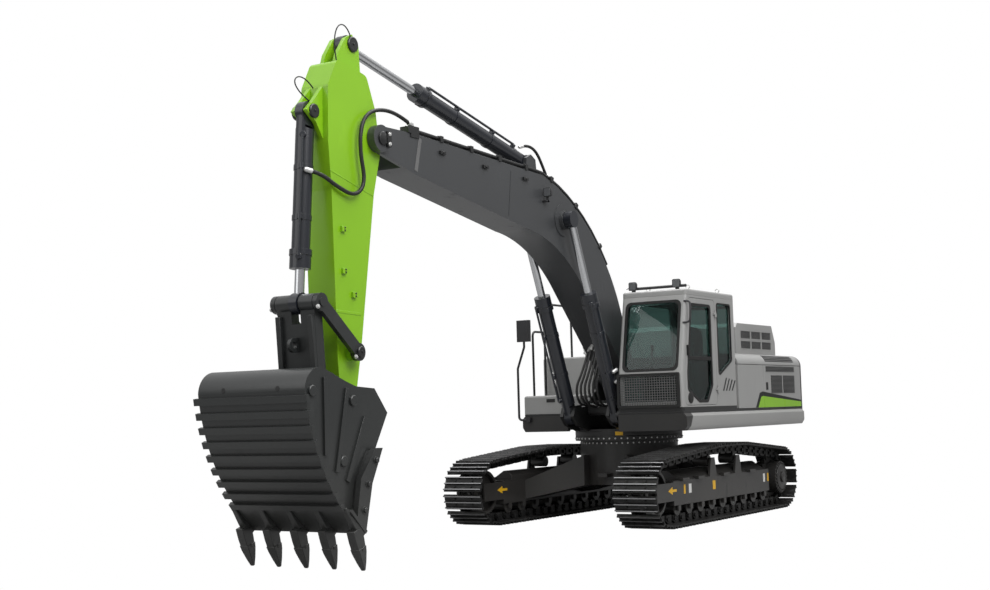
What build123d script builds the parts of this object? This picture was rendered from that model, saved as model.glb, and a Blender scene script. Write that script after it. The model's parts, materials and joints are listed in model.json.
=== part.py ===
from build123d import *
import math
import os

# Crawler excavator in its parked pose: boom half raised, arm hanging, bucket teeth just off the ground.
# X points forward, Y to the machine's left (the cab side), Z up; the origin is on the ground under the
# slewing axis. All sizes are in millimetres. Pivots are (x, z) pairs in the machine's middle plane.

SIDES = (1, -1)
FIT = 0.3               # pin in its eye, rod in its gland, ring on ring, panel on its seat, pane in its frame
SIDE_GAP = 8.0          # sideways room between an eye and the cheeks beside it

# Tracks and undercarriage
GAUGE = 2590.0
SHOE_WIDTH = 600.0
WHEELBASE = 4030.0
GROUSER_REACH = 452.0   # wheel centre to grouser tip
GROUSER_HEIGHT = 30.0
GROUSER_BASE = 38.0
GROUSER_SPOTS = (0.1, 0.5, 0.9)
SHOE_THICKNESS = 16.0
SHOE_COUNT = 49
LINK_HEIGHT = 110.0
LINK_WIDTH = 55.0
LINK_SPREAD = 160.0     # between the middles of a track's two link rails
CARRIER_RADIUS = 75.0
CARRIER_SPOTS = (370.0, -500.0)
CARRIER_HEIGHT = 800.0
ROLLER_RADIUS = 85.0
ROLLER_FLANGE = 20.0
ROLLER_SHAFT = 28.0
ROLLER_COUNT = 9
ROLLER_SPAN = 2950.0
AXLE_RADIUS = 40.0
FRAME_WIDTH = 330.0
FRAME_BOTTOM = 270.0
FRAME_TOP = 590.0
FRAME_PLATE = 30.0
DRIVE_ROOM = 375.0      # wheel centre to the end of the box part of a track frame
FORK_HEIGHT = 240.0
DRIVE_RADIUS = 235.0
DRIVE_LENGTH = 345.0
SPROCKET_TEETH = 21
SPROCKET_WIDTH = 80.0
SPROCKET_TIP = 345.0
CAR_RADIUS = 700.0
CAR_BOTTOM = 480.0
CAR_TOP = 1095.0
CAR_WALL = 130.0
RING_HEIGHT = 67.5
RING_WIDTH = 200.0
RING_RADIUS = 770.0

# House
DECK_TOP = 1490.0
DECK_PLATE = 30.0
HOUSE_FRONT = 1330.0    # under the cab
HOUSE_NOSE = 700.0      # between the two sides
RIGHT_FRONT = 410.0
WEIGHT_EDGE = 127.3     # straight side of the counterweight behind the bay
TAIL_RADIUS = 3500.0
SKIRT = 60.0
SILL_REACH = 40.0       # sill rail beyond the panels above it
SILL_BEVEL = 60.0
SHOULDER = 160.0        # round of the body's top edges
TAIL_ROUND = 190.0      # upright corners of the counterweight
GIRDER = 50.0
BODY_TOP = 2290.0
BAY_FRONT = -545.0
DOOR_SPLIT = -1500.0
DOOR_PANEL = 45.0
DOOR_SKIN = 12.0
DOOR_GAP = 6.0
POST = 60.0
HOOD_FRONT = -1350.0
HOOD_SETBACK = 115.0
SIDE_DECK = 350.0       # beside the hood
HOOD_TOP = 2770.0
HOOD_WALL = 30.0
GRILLE_COLUMNS = 3
GRILLE_ROWS = 2
GRILLE_WIDTH = 400.0
GRILLE_HEIGHT = 137.0
GRILLE_BAR = 15.0
GRILLE_DEPTH = 12.0
GRILLE_SETBACK = 170.0  # behind the hood's front
GRILLE_RISE = 90.0      # above the hood's seat
LOUVRE_SHARES = (0.33, 0.66)
LOUVRE_WIDTH = 450.0
LOUVRE_RISE = 214.0
LOUVRE_SLOTS = 7
LOUVRE_PITCH = 40.0
LOUVRE_HEIGHT = 22.0
TANK_REAR = -1010.0
TANK_FRONT = -180.0
TANK_TOP = 2330.0
TANK_INNER = -560.0
TANK_WALL = 12.0
STEP_TOP = 1760.0
BOX_ROUND = 30.0        # top edges of the tank and the step box
CLEANER_SPOT = (-350.0, -800.0)
CLEANER_NECK = 70.0
CLEANER_RADIUS = 125.0
CLEANER_HEIGHT = 80.0

# Cab
CAB_INNER = 544.0
CAB_WIDTH = 956.0
CAB_REAR = -487.0
SILL_RISE = 75.0        # deck to the door's sill
KNEE_RISE = 435.0       # sill to where the front starts to lean back
WAIST_RISE = 475.0      # sill to the foot of the windows
CAB_BROW = 1118.0       # front edge under the roof
CAB_EAVES = 3040.0
ROOF_DEPTH = 80.0
CAB_WALL = 55.0
CAB_FLOOR = 50.0
CAB_ROUND = 40.0        # upright edges of the cab
DOOR_ROUND = 60.0
WINDOW_ROUND = 45.0
PANE = 8.0
DOOR_REAR = 215.0
DOOR_FRONT = 1245.0
DOOR_HEAD = 1045.0      # front edge of the door at its top
LINTEL_DROP = 40.0      # eaves to the door's top
HINGE_RADIUS = 16.0
HINGE_PIN = 8.0
HINGE_HEIGHTS = (1760.0, 2800.0)

# Pivots of the digging gear
BOOM_FOOT = (280.0, 2000.0)
BOOM_TIP = (6170.0, 4550.0)
BOOM_RAM_FOOT = (1040.0, 1450.0)
BOOM_RAM_EYE = (2160.0, 4050.0)
ARM_RAM_FOOT = (2720.0, 4760.0)
ARM_RAM_EYE = (6450.0, 5560.0)
BUCKET_RAM_FOOT = (7120.0, 4720.0)
LINK_TOP = (7276.0, 2707.0)
IDLER_FOOT = (6671.0, 2211.0)
BUCKET_PIN = (6720.0, 1720.0)
BUCKET_EAR = (7210.0, 1870.0)

# Boom, arm, bucket and linkage
BOOM_HALF = 235.0
BOOM_SIDE = 14.0
BOOM_EDGE = 18.0
BOOM_FORK = 450.0       # slot depth behind the arm's pivot
PIVOT_RADIUS = 55.0
PIVOT_BOSS = 150.0
ARM_HALF = 180.0
ARM_SIDE = 14.0
ARM_EDGE = 18.0
TIP_HALF = 245.0        # half width of the arm's lower bosses
EAR_THICKNESS = 55.0
SMALL_PIN = 48.0
SMALL_BOSS = 125.0
LINK_BOSS = 94.0
LINK_TUBE = 100.0
BUCKET_HALF = 690.0
BUCKET_SIDE = 30.0
BUCKET_BACK = 36.0
TOOTH_COUNT = 5
TOOTH_WIDTH = 105.0
TOOTH_PITCH = 362.0
CUTTER = 60.0           # side cutters, on the outside of the bucket's sides
WEAR_COUNT = 9
WEAR_WIDTH = 70.0
WEAR_DEPTH = 32.0
WEAR_SINK = 12.0        # into the curve of the back
WEAR_REACH = 12.0       # wear strips beyond the bucket's sides

# Rams: eye half width, barrel, gland, bore and rod
EYE_HALF = 52.0
EYE_RADIUS = 112.0
BARREL_RADIUS = 97.0
GLAND_RADIUS = 112.0
GLAND_LENGTH = 170.0
BORE_RADIUS = 78.0
ROD_RADIUS = 52.0
RAM_OFFSET = 360.0      # boom rams, from the middle plane
BOOM_BARREL = 1790.0
ARM_BARREL = 2480.0
BUCKET_BARREL = 1660.0
BOOM_ROD_TAIL = 1060.0  # foot pivot to the inner end of the rod
ARM_ROD_TAIL = 1330.0
BUCKET_ROD_TAIL = 400.0
BARREL_FLOOR = 150.0

DECK_BOTTOM = CAR_TOP + 2 * RING_HEIGHT + FIT
WHEEL_RADIUS = GROUSER_REACH - GROUSER_HEIGHT - SHOE_THICKNESS - LINK_HEIGHT
WHEEL_X = WHEELBASE / 2
FRAME_REACH = WHEEL_X - DRIVE_ROOM
HOUSE_HALF = CAB_INNER + CAB_WIDTH
HOOD_HALF = HOUSE_HALF - SIDE_DECK
TAIL_CORNER = -math.sqrt(TAIL_RADIUS**2 - HOUSE_HALF**2)
BAY_REAR = TAIL_CORNER + WEIGHT_EDGE
HOOD_REAR = BAY_REAR + HOOD_SETBACK
DOOR_SILL = DECK_TOP + SILL_RISE
CAB_KNEE = DOOR_SILL + KNEE_RISE
WAIST = DOOR_SILL + WAIST_RISE
DOOR_LINTEL = CAB_EAVES - LINTEL_DROP
CAB_ROOF = CAB_EAVES + ROOF_DEPTH
LUG_INNER = EYE_HALF + SIDE_GAP
LUG_OUTER = LUG_INNER + GIRDER
EAR_INNER = TIP_HALF + SIDE_GAP
EAR_OUTER = EAR_INNER + EAR_THICKNESS


def plate(outline, y_low, y_high, mode=Mode.ADD, corner=0.0):
    """Flat plate with its outline in X and Z, from y_low to y_high, with round corners if asked."""
    with BuildSketch(Plane.XZ.offset(-y_low)) as face:
        with BuildLine():
            Polyline(*outline, close=True)
        make_face()
        if corner:
            fillet(face.vertices(), corner)
    extrude(face.sketch, amount=y_high - y_low, dir=(0, 1, 0), mode=mode)


def slab(outline, z_low, z_high, mode=Mode.ADD):
    """Level plate with its outline in X and Y, from z_low to z_high."""
    with BuildSketch(Plane.XY.offset(z_low)) as face:
        with BuildLine():
            Polyline(*outline, close=True)
        make_face()
    extrude(face.sketch, amount=z_high - z_low, dir=(0, 0, 1), mode=mode)


def block(low, high, mode=Mode.ADD):
    """Square block between two opposite corners."""
    slab([(low[0], low[1]), (high[0], low[1]), (high[0], high[1]), (low[0], high[1])], low[2], high[2], mode)


def disc(at, radius, y_low, y_high, mode=Mode.ADD):
    """Round boss or bore across the machine at an (x, z) point."""
    with BuildSketch(Plane.XZ.offset(-y_low)) as face:
        with Locations(at):
            Circle(radius)
    extrude(face.sketch, amount=y_high - y_low, dir=(0, 1, 0), mode=mode)


def post(x, y, radius, z_low, z_high, mode=Mode.ADD):
    """Upright round bar."""
    with BuildSketch(Plane.XY.offset(z_low)) as face:
        with Locations((x, y)):
            Circle(radius)
    extrude(face.sketch, amount=z_high - z_low, dir=(0, 0, 1), mode=mode)


def cheeks(outline, inner, outer, mode=Mode.ADD):
    """The same plate on both sides of the middle plane."""
    for side in SIDES:
        plate(outline, *sorted((side * inner, side * outer)), mode)


def bosses(at, radius, inner, outer, mode=Mode.ADD):
    """The same boss on both sides of the middle plane."""
    for side in SIDES:
        disc(at, radius, *sorted((side * inner, side * outer)), mode)


def bar(start, end, y, radius, begin, finish, mode=Mode.ADD):
    """Round bar on the line from start to end, between two distances from start."""
    along = Vector(end[0] - start[0], 0, end[1] - start[1]).normalized()
    with BuildSketch(Plane(Vector(start[0], y, start[1]) + along * begin, z_dir=along)) as face:
        Circle(radius)
    extrude(face.sketch, amount=finish - begin, dir=along, mode=mode)


def pipe(points, bend, radius):
    """Bent tube through points, with the same bend at each corner."""
    with BuildLine() as route:
        FilletPolyline(*points, radius=bend)
    with BuildSketch(Plane(route.line @ 0, z_dir=route.line % 0)) as section:
        Circle(radius)
    sweep(section.sketch, path=route.line)


def save(builder, name):
    """Name a finished piece and write it."""
    builder.part.label = name
    export_step(builder.part, f"parts/{name}.step")


def near(point, x, z):
    """Point at an offset from a pivot."""
    return (point[0] + x, point[1] + z)


def between(start, end, share):
    """Point part of the way from start to end."""
    return (start[0] + (end[0] - start[0]) * share, start[1] + (end[1] - start[1]) * share)


def belt(wheels):
    """Wrap of a belt laid anticlockwise round wheels (x, z, radius): each wheel with its two angles."""
    leaves = []
    for (x1, z1, r1), (x2, z2, r2) in zip(wheels, wheels[1:] + wheels[:1]):
        heading = math.atan2(z2 - z1, x2 - x1)
        leaves.append(heading - math.acos((r1 - r2) / math.hypot(x2 - x1, z2 - z1)))
    wraps = []
    for index, (x, z, r) in enumerate(wheels):
        enter = leaves[index - 1]
        turn = (leaves[index] - enter) % math.tau
        wraps.append((x, z, r, enter, enter + turn))
    return wraps


def rim_point(wrap, angle, height):
    """Point at a height over a wrapped wheel's rim."""
    return (wrap[0] + (wrap[2] + height) * math.cos(angle), wrap[1] + (wrap[2] + height) * math.sin(angle))


def belt_runs(wraps):
    """Length of the wrap on each wheel and of the straight run after it."""
    runs = []
    for wrap, following in zip(wraps, wraps[1:] + wraps[:1]):
        start = rim_point(wrap, wrap[4], 0)
        end = rim_point(following, wrap[4], 0)
        runs.append((wrap[2] * (wrap[4] - wrap[3]), math.dist(start, end)))
    return runs


def belt_point(wraps, travel, height):
    """Point at a height over the belt's line, at a travelled length along it."""
    runs = belt_runs(wraps)
    travel = travel % sum(wrap + run for wrap, run in runs)
    for index, (arc, run) in enumerate(runs):
        wrap = wraps[index]
        if travel <= arc:
            return rim_point(wrap, wrap[3] + travel / wrap[2], height)
        if travel <= arc + run:
            following = wraps[(index + 1) % len(wraps)]
            share = (travel - arc) / run
            return between(rim_point(wrap, wrap[4], height), rim_point(following, wrap[4], height), share)
        travel -= arc + run
    return rim_point(wraps[0], wraps[0][3], height)


def belt_lines(wraps, height):
    """Lines and arcs of the belt at a height over its line, for the outline being drawn."""
    for wrap, following in zip(wraps, wraps[1:] + wraps[:1]):
        middle = (wrap[3] + wrap[4]) / 2
        ThreePointArc(*[rim_point(wrap, angle, height) for angle in (wrap[3], middle, wrap[4])])
        Line(rim_point(wrap, wrap[4], height), rim_point(following, wrap[4], height))


os.makedirs("parts", exist_ok=True)

# Tracks: a closed loop of shoes with three grousers each, on two link rails
TRACK_WRAPS = belt([
    (-WHEEL_X, GROUSER_REACH, WHEEL_RADIUS),
    (WHEEL_X, GROUSER_REACH, WHEEL_RADIUS),
    (CARRIER_SPOTS[0], CARRIER_HEIGHT, CARRIER_RADIUS),
    (CARRIER_SPOTS[1], CARRIER_HEIGHT, CARRIER_RADIUS),
])
TRACK_LENGTH = sum(arc + run for arc, run in belt_runs(TRACK_WRAPS))
SHOE_PITCH = TRACK_LENGTH / SHOE_COUNT
SHOE_TOP = LINK_HEIGHT + SHOE_THICKNESS
GROUSER_TIP = SHOE_TOP + GROUSER_HEIGHT
shoe_line = []
for shoe in range(SHOE_COUNT):
    for spot in GROUSER_SPOTS:
        middle = (shoe + spot) * SHOE_PITCH
        shoe_line.append(belt_point(TRACK_WRAPS, middle - GROUSER_BASE / 2, SHOE_TOP))
        shoe_line.append(belt_point(TRACK_WRAPS, middle, GROUSER_TIP))
        shoe_line.append(belt_point(TRACK_WRAPS, middle + GROUSER_BASE / 2, SHOE_TOP))

for side, name in zip(SIDES, ("left", "right")):
    centre = side * GAUGE / 2
    rails = [(centre + way * LINK_SPREAD / 2 - LINK_WIDTH / 2) for way in SIDES]
    with BuildPart() as track:
        plate(shoe_line, centre - SHOE_WIDTH / 2, centre + SHOE_WIDTH / 2)
        with BuildSketch(Plane.XZ.offset(-centre)):
            with BuildLine():
                belt_lines(TRACK_WRAPS, LINK_HEIGHT)
            make_face()
        extrude(amount=SHOE_WIDTH, both=True, mode=Mode.SUBTRACT)
        for rail in rails:
            with BuildSketch(Plane.XZ.offset(-rail)):
                with BuildLine():
                    belt_lines(TRACK_WRAPS, LINK_HEIGHT)
                make_face()
                with BuildLine():
                    belt_lines(TRACK_WRAPS, 0)
                make_face(mode=Mode.SUBTRACT)
            extrude(amount=-LINK_WIDTH)
    save(track, f"track_{name}")

    # Track frame: a channel open below, with a fork for the idler and a plate for the final drive
    low = centre - FRAME_WIDTH / 2
    high = centre + FRAME_WIDTH / 2
    fork_low = GROUSER_REACH - FORK_HEIGHT / 2
    fork_high = GROUSER_REACH + FORK_HEIGHT / 2
    inner_face = centre - side * FRAME_WIDTH / 2
    inner_low, inner_high = sorted((inner_face, inner_face + side * FRAME_PLATE))
    with BuildPart() as track_frame:
        block((-FRAME_REACH, low, FRAME_BOTTOM), (FRAME_REACH, high, FRAME_TOP))
        block(
            (-FRAME_REACH + FRAME_PLATE, low + FRAME_PLATE, FRAME_BOTTOM),
            (FRAME_REACH - FRAME_PLATE, high - FRAME_PLATE, FRAME_TOP - FRAME_PLATE),
            Mode.SUBTRACT,
        )
        for y in (low, high - FRAME_PLATE):
            block((FRAME_REACH, y, fork_low), (WHEEL_X + FORK_HEIGHT / 2, y + FRAME_PLATE, fork_high))
        block((-WHEEL_X - FORK_HEIGHT / 2, inner_low, fork_low), (-FRAME_REACH, inner_high, fork_high))
    save(track_frame, f"track_frame_{name}")

# Idlers: a rim with a middle flange, a thin web and a hub that bears on the fork
HUB_HALF = FRAME_WIDTH / 2 - FRAME_PLATE
TREAD_HALF = LINK_SPREAD / 2 + LINK_WIDTH / 2
FLANGE_HALF = LINK_SPREAD / 2 - LINK_WIDTH / 2 - SIDE_GAP
with BuildPart() as idlers:
    for side in SIDES:
        centre = side * GAUGE / 2
        axle = (WHEEL_X, GROUSER_REACH)
        disc(axle, WHEEL_RADIUS - FIT, centre - TREAD_HALF, centre + TREAD_HALF)
        disc(axle, WHEEL_RADIUS - 2 * ROLLER_FLANGE, centre + FLANGE_HALF, centre + TREAD_HALF, Mode.SUBTRACT)
        disc(axle, WHEEL_RADIUS - 2 * ROLLER_FLANGE, centre - TREAD_HALF, centre - FLANGE_HALF, Mode.SUBTRACT)
        disc(axle, WHEEL_RADIUS + ROLLER_FLANGE, centre - FLANGE_HALF, centre + FLANGE_HALF)
        disc(axle, 2 * AXLE_RADIUS, centre - HUB_HALF, centre + HUB_HALF)
save(idlers, "idlers")

# Sprockets: a toothed disc on the drum of the final drive
tooth_step = math.tau / SPROCKET_TEETH
SPROCKET_ROOT = WHEEL_RADIUS - FIT
TOOTH_FORM = ((-0.36, SPROCKET_ROOT), (-0.14, SPROCKET_TIP), (0.14, SPROCKET_TIP), (0.36, SPROCKET_ROOT))
with BuildPart() as sprockets:
    for side in SIDES:
        centre = side * GAUGE / 2
        teeth = []
        for tooth in range(SPROCKET_TEETH):
            for share, radius in TOOTH_FORM:
                angle = (tooth + share) * tooth_step
                teeth.append((-WHEEL_X + radius * math.cos(angle), GROUSER_REACH + radius * math.sin(angle)))
        plate(teeth, centre - SPROCKET_WIDTH / 2, centre + SPROCKET_WIDTH / 2)
        seat = centre - side * HUB_HALF
        disc((-WHEEL_X, GROUSER_REACH), DRIVE_RADIUS, *sorted((seat, seat + side * DRIVE_LENGTH)))
save(sprockets, "sprockets")

# Bottom rollers: treads and flanges on a shaft whose end blocks bolt under the track frame
ROLLER_Z = GROUSER_REACH - WHEEL_RADIUS + ROLLER_RADIUS + FIT
ROLLER_STEP = ROLLER_SPAN / (ROLLER_COUNT - 1)
with BuildPart() as roller:
    disc((0, 0), ROLLER_RADIUS, -TREAD_HALF, TREAD_HALF)
    bosses((0, 0), ROLLER_RADIUS + ROLLER_FLANGE, TREAD_HALF, TREAD_HALF + ROLLER_FLANGE)
    disc((0, 0), ROLLER_SHAFT, -FRAME_WIDTH / 2, FRAME_WIDTH / 2)
    cheeks(
        [
            (-AXLE_RADIUS, -AXLE_RADIUS),
            (AXLE_RADIUS, -AXLE_RADIUS),
            (AXLE_RADIUS, FRAME_BOTTOM - ROLLER_Z),
            (-AXLE_RADIUS, FRAME_BOTTOM - ROLLER_Z),
        ],
        HUB_HALF,
        FRAME_WIDTH / 2,
    )
with BuildPart() as bottom_rollers:
    for side in SIDES:
        for index in range(ROLLER_COUNT):
            with Locations((-ROLLER_SPAN / 2 + index * ROLLER_STEP, side * GAUGE / 2, ROLLER_Z)):
                add(roller.part)
save(bottom_rollers, "bottom_rollers")

# Carrier rollers, each on an A-shaped bracket on the track frame
with BuildPart() as carrier_rollers:
    for side in SIDES:
        centre = side * GAUGE / 2
        outside = centre + side * FRAME_WIDTH / 2
        bracket = sorted((outside, outside - side * FRAME_PLATE))
        for x in CARRIER_SPOTS:
            spot = (x, CARRIER_HEIGHT)
            disc(spot, CARRIER_RADIUS - FIT, centre - TREAD_HALF, centre + TREAD_HALF)
            disc(spot, AXLE_RADIUS, *sorted((centre, outside)))
            plate(
                [
                    (x - 3 * AXLE_RADIUS, FRAME_TOP),
                    (x + 3 * AXLE_RADIUS, FRAME_TOP),
                    (x + 1.5 * AXLE_RADIUS, CARRIER_HEIGHT + AXLE_RADIUS),
                    (x - 1.5 * AXLE_RADIUS, CARRIER_HEIGHT + AXLE_RADIUS),
                ],
                *bracket,
            )
save(carrier_rollers, "carrier_rollers")

# Car body: a drum under the slewing ring with four legs out to the track frames
LEG_ROOT = 330.0
LEG_ROOT_X = 520.0
LEG_TIP_X = 820.0
LEG_WIDTH = 500.0
LEG_ROOT_TOP = 900.0
LEG_TIP_TOP = 565.0
LEG_TIP_BOTTOM = 300.0
leg_end = GAUGE / 2 - FRAME_WIDTH / 2
with BuildPart() as car_body:
    for side in SIDES:
        for way in SIDES:
            with BuildSketch(Plane.XZ.offset(-side * LEG_ROOT)):
                with Locations((way * LEG_ROOT_X, (CAR_BOTTOM + LEG_ROOT_TOP) / 2)):
                    Rectangle(LEG_WIDTH, LEG_ROOT_TOP - CAR_BOTTOM)
            with BuildSketch(Plane.XZ.offset(-side * leg_end)):
                with Locations((way * LEG_TIP_X, (LEG_TIP_BOTTOM + LEG_TIP_TOP) / 2)):
                    Rectangle(LEG_WIDTH, LEG_TIP_TOP - LEG_TIP_BOTTOM)
            loft()
    post(0, 0, CAR_RADIUS, CAR_BOTTOM, CAR_TOP)
    post(0, 0, CAR_RADIUS - CAR_WALL, CAR_BOTTOM, CAR_TOP - CAR_WALL, Mode.SUBTRACT)
save(car_body, "car_body")

# Slewing ring: the lower half stays on the car body, the upper half turns with the house
with BuildPart() as slew_ring_lower:
    post(0, 0, RING_RADIUS, CAR_TOP, CAR_TOP + RING_HEIGHT)
    post(0, 0, RING_RADIUS - RING_WIDTH, CAR_TOP, CAR_TOP + RING_HEIGHT, Mode.SUBTRACT)
save(slew_ring_lower, "slew_ring_lower")
with BuildPart() as slew_ring_upper:
    post(0, 0, RING_RADIUS, DECK_BOTTOM - RING_HEIGHT, DECK_BOTTOM)
    post(0, 0, RING_RADIUS - RING_WIDTH, DECK_BOTTOM - RING_HEIGHT, DECK_BOTTOM, Mode.SUBTRACT)
save(slew_ring_upper, "slew_ring_upper")

# Towing eyes at both ends of the car body
TOW_HOLE = 35.0
TOW_PLATE = 50.0
TOW_HALF = 75.0
TOW_REACH = 150.0
TOW_Z = 620.0
with BuildPart() as tow_eyes:
    for way in SIDES:
        root = way * (CAR_RADIUS - TOW_HOLE)
        tip = way * (CAR_RADIUS + TOW_REACH)
        tow_low = TOW_Z - TOW_PLATE / 2
        tow_high = TOW_Z + TOW_PLATE / 2
        slab([(root, -TOW_HALF), (tip, -TOW_HALF), (tip, TOW_HALF), (root, TOW_HALF)], tow_low, tow_high)
        post(0, 0, CAR_RADIUS, tow_low, tow_high, Mode.SUBTRACT)
    for way in SIDES:
        hole_x = way * (CAR_RADIUS + TOW_REACH - TOW_HALF)
        post(hole_x, 0, TOW_HOLE, TOW_Z - TOW_PLATE, TOW_Z + TOW_PLATE, Mode.SUBTRACT)
save(tow_eyes, "tow_eyes")

# Centre frame of the house: two girders that rise to the boom's foot and reach forward to its rams
GIRDER_INNER = BOOM_HALF + 2 * SIDE_GAP
GIRDER_OUTER = GIRDER_INNER + GIRDER
RAM_CHEEK_INNER = RAM_OFFSET + EYE_HALF + SIDE_GAP
RAM_CHEEK_OUTER = RAM_CHEEK_INNER + GIRDER
FOOT_BOSS = 170.0
RAM_BOSS = 130.0
BARREL_ROOM = 2 * BARREL_RADIUS + SIDE_GAP
bracket_line = [
    (BAY_REAR, DECK_BOTTOM),
    (HOUSE_NOSE, DECK_BOTTOM),
    (BOOM_RAM_FOOT[0], BOOM_RAM_FOOT[1] - RAM_BOSS),
    (BOOM_RAM_FOOT[0] + RAM_BOSS, BOOM_RAM_FOOT[1]),
    (BOOM_RAM_FOOT[0] + RAM_BOSS / 2, BOOM_RAM_FOOT[1] + RAM_BOSS),
    (BOOM_RAM_FOOT[0] - BARREL_ROOM, BOOM_RAM_FOOT[1] + RAM_BOSS),
    (BOOM_FOOT[0] + FOOT_BOSS, BOOM_FOOT[1] - FOOT_BOSS),
    (BOOM_FOOT[0] + FOOT_BOSS, BOOM_FOOT[1] + FOOT_BOSS / 2),
    (BOOM_FOOT[0] + FOOT_BOSS / 2, BOOM_FOOT[1] + FOOT_BOSS),
    (BOOM_FOOT[0] - FOOT_BOSS / 2, BOOM_FOOT[1] + FOOT_BOSS),
    (BOOM_FOOT[0] - FOOT_BOSS, BOOM_FOOT[1] + FOOT_BOSS / 2),
    (BAY_FRONT, DECK_TOP),
    (BAY_REAR, DECK_TOP),
]
CHEEK_REAR = 450.0
cheek_line = [
    (CHEEK_REAR, DECK_BOTTOM),
    (HOUSE_NOSE, DECK_BOTTOM),
    (BOOM_RAM_FOOT[0], BOOM_RAM_FOOT[1] - RAM_BOSS),
    (BOOM_RAM_FOOT[0] + RAM_BOSS, BOOM_RAM_FOOT[1]),
    (BOOM_RAM_FOOT[0] + RAM_BOSS / 2, BOOM_RAM_FOOT[1] + RAM_BOSS),
    (CHEEK_REAR, DECK_TOP + RAM_BOSS),
]
with BuildPart() as centre_frame:
    cheeks(bracket_line, GIRDER_INNER, GIRDER_OUTER)
    cheeks(cheek_line, RAM_CHEEK_INNER, RAM_CHEEK_OUTER)
    for side in SIDES:
        y_low, y_high = sorted((side * GIRDER_INNER, side * RAM_CHEEK_OUTER))
        block((CHEEK_REAR, y_low, DECK_BOTTOM), (HOUSE_NOSE, y_high, DECK_BOTTOM + GIRDER))
    block((BAY_REAR, -GIRDER_OUTER, DECK_TOP - DECK_PLATE), (HOUSE_NOSE, GIRDER_OUTER, DECK_TOP))
    post(0, 0, RING_RADIUS, DECK_BOTTOM, DECK_BOTTOM + DECK_PLATE)
    disc(BOOM_FOOT, PIVOT_RADIUS, -GIRDER_OUTER, GIRDER_OUTER)
    bosses(BOOM_RAM_FOOT, SMALL_PIN, GIRDER_INNER, RAM_CHEEK_OUTER)
save(centre_frame, "centre_frame")

# Deck plates and the skirts under their outer edges
deck_inner = GIRDER_OUTER + FIT
notch = RAM_CHEEK_OUTER + SIDE_GAP
CAB_SILL = 530.0
with BuildPart() as deck_plates:
    slab(
        [
            (BAY_REAR, deck_inner),
            (CHEEK_REAR - SIDE_GAP, deck_inner),
            (CHEEK_REAR - SIDE_GAP, notch),
            (HOUSE_NOSE, notch),
            (HOUSE_NOSE, CAB_SILL),
            (HOUSE_FRONT, CAB_SILL),
            (HOUSE_FRONT, HOUSE_HALF),
            (BAY_REAR, HOUSE_HALF),
        ],
        DECK_TOP - DECK_PLATE,
        DECK_TOP,
    )
    block((BAY_REAR, -HOUSE_HALF, DECK_TOP - DECK_PLATE), (RIGHT_FRONT, -deck_inner, DECK_TOP))
save(deck_plates, "deck_plates")

with BuildPart() as skirts:
    skirt_top = DECK_TOP - DECK_PLATE
    for side, front in ((1, HOUSE_FRONT), (-1, RIGHT_FRONT)):
        with BuildSketch(Plane.YZ.offset(BAY_REAR)) as sill:
            with BuildLine():
                Polyline(
                    (side * (HOUSE_HALF - SKIRT), DECK_BOTTOM),
                    (side * HOUSE_HALF, DECK_BOTTOM),
                    (side * (HOUSE_HALF + SILL_REACH), DECK_BOTTOM + SILL_BEVEL),
                    (side * (HOUSE_HALF + SILL_REACH), skirt_top - SILL_REACH),
                    (side * HOUSE_HALF, skirt_top),
                    (side * (HOUSE_HALF - SKIRT), skirt_top),
                    close=True,
                )
            make_face()
        extrude(sill.sketch, amount=front - BAY_REAR, dir=(1, 0, 0))
    block((HOUSE_FRONT - SKIRT, CAB_SILL, DECK_BOTTOM), (HOUSE_FRONT, HOUSE_HALF, skirt_top))
    block((RIGHT_FRONT - SKIRT, -HOUSE_HALF, DECK_BOTTOM), (RIGHT_FRONT, -RING_RADIUS, skirt_top))
save(skirts, "skirts")

# Counterweight: straight front, tail swept about the slewing axis
with BuildPart() as counterweight:
    with BuildSketch(Plane.XY.offset(DECK_BOTTOM)):
        with BuildLine():
            ThreePointArc((TAIL_CORNER, HOUSE_HALF), (-TAIL_RADIUS, 0), (TAIL_CORNER, -HOUSE_HALF))
            Polyline(
                (TAIL_CORNER, -HOUSE_HALF),
                (BAY_REAR, -HOUSE_HALF),
                (BAY_REAR, HOUSE_HALF),
                (TAIL_CORNER, HOUSE_HALF),
            )
        make_face()
    extrude(amount=BODY_TOP - DECK_BOTTOM)
    fillet(counterweight.edges().filter_by(Axis.Z).sort_by(Axis.X)[:2], TAIL_ROUND)
    fillet(counterweight.faces().sort_by(Axis.Z)[-1].edges().sort_by(Axis.X)[:-1], SHOULDER)
    fillet(counterweight.faces().sort_by(Axis.Z)[0].edges().sort_by(Axis.X)[:-1], SKIRT)
save(counterweight, "counterweight")

# Engine, standing in for what the engine bay holds
ENGINE_LOW = (-2650.0, -450.0, 1490.0)
ENGINE_HIGH = (-1450.0, 450.0, 2400.0)
with BuildPart() as engine_block:
    block(ENGINE_LOW, ENGINE_HIGH)
save(engine_block, "engine_block")

# Posts, bulkhead and side decks that carry the doors and the hood of the engine bay
door_face = HOUSE_HALF - DOOR_PANEL - FIT
with BuildPart() as bay_posts:
    for y_low, y_high, spots in (
        (door_face - POST, door_face, (BAY_REAR, DOOR_SPLIT - POST / 2, BAY_FRONT - POST)),
        (-door_face, -door_face + POST, (BAY_REAR, TANK_REAR - POST)),
    ):
        for x in spots:
            block((x, y_low, DECK_TOP), (x + POST, y_high, BODY_TOP - SHOULDER))
save(bay_posts, "bay_posts")

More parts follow.
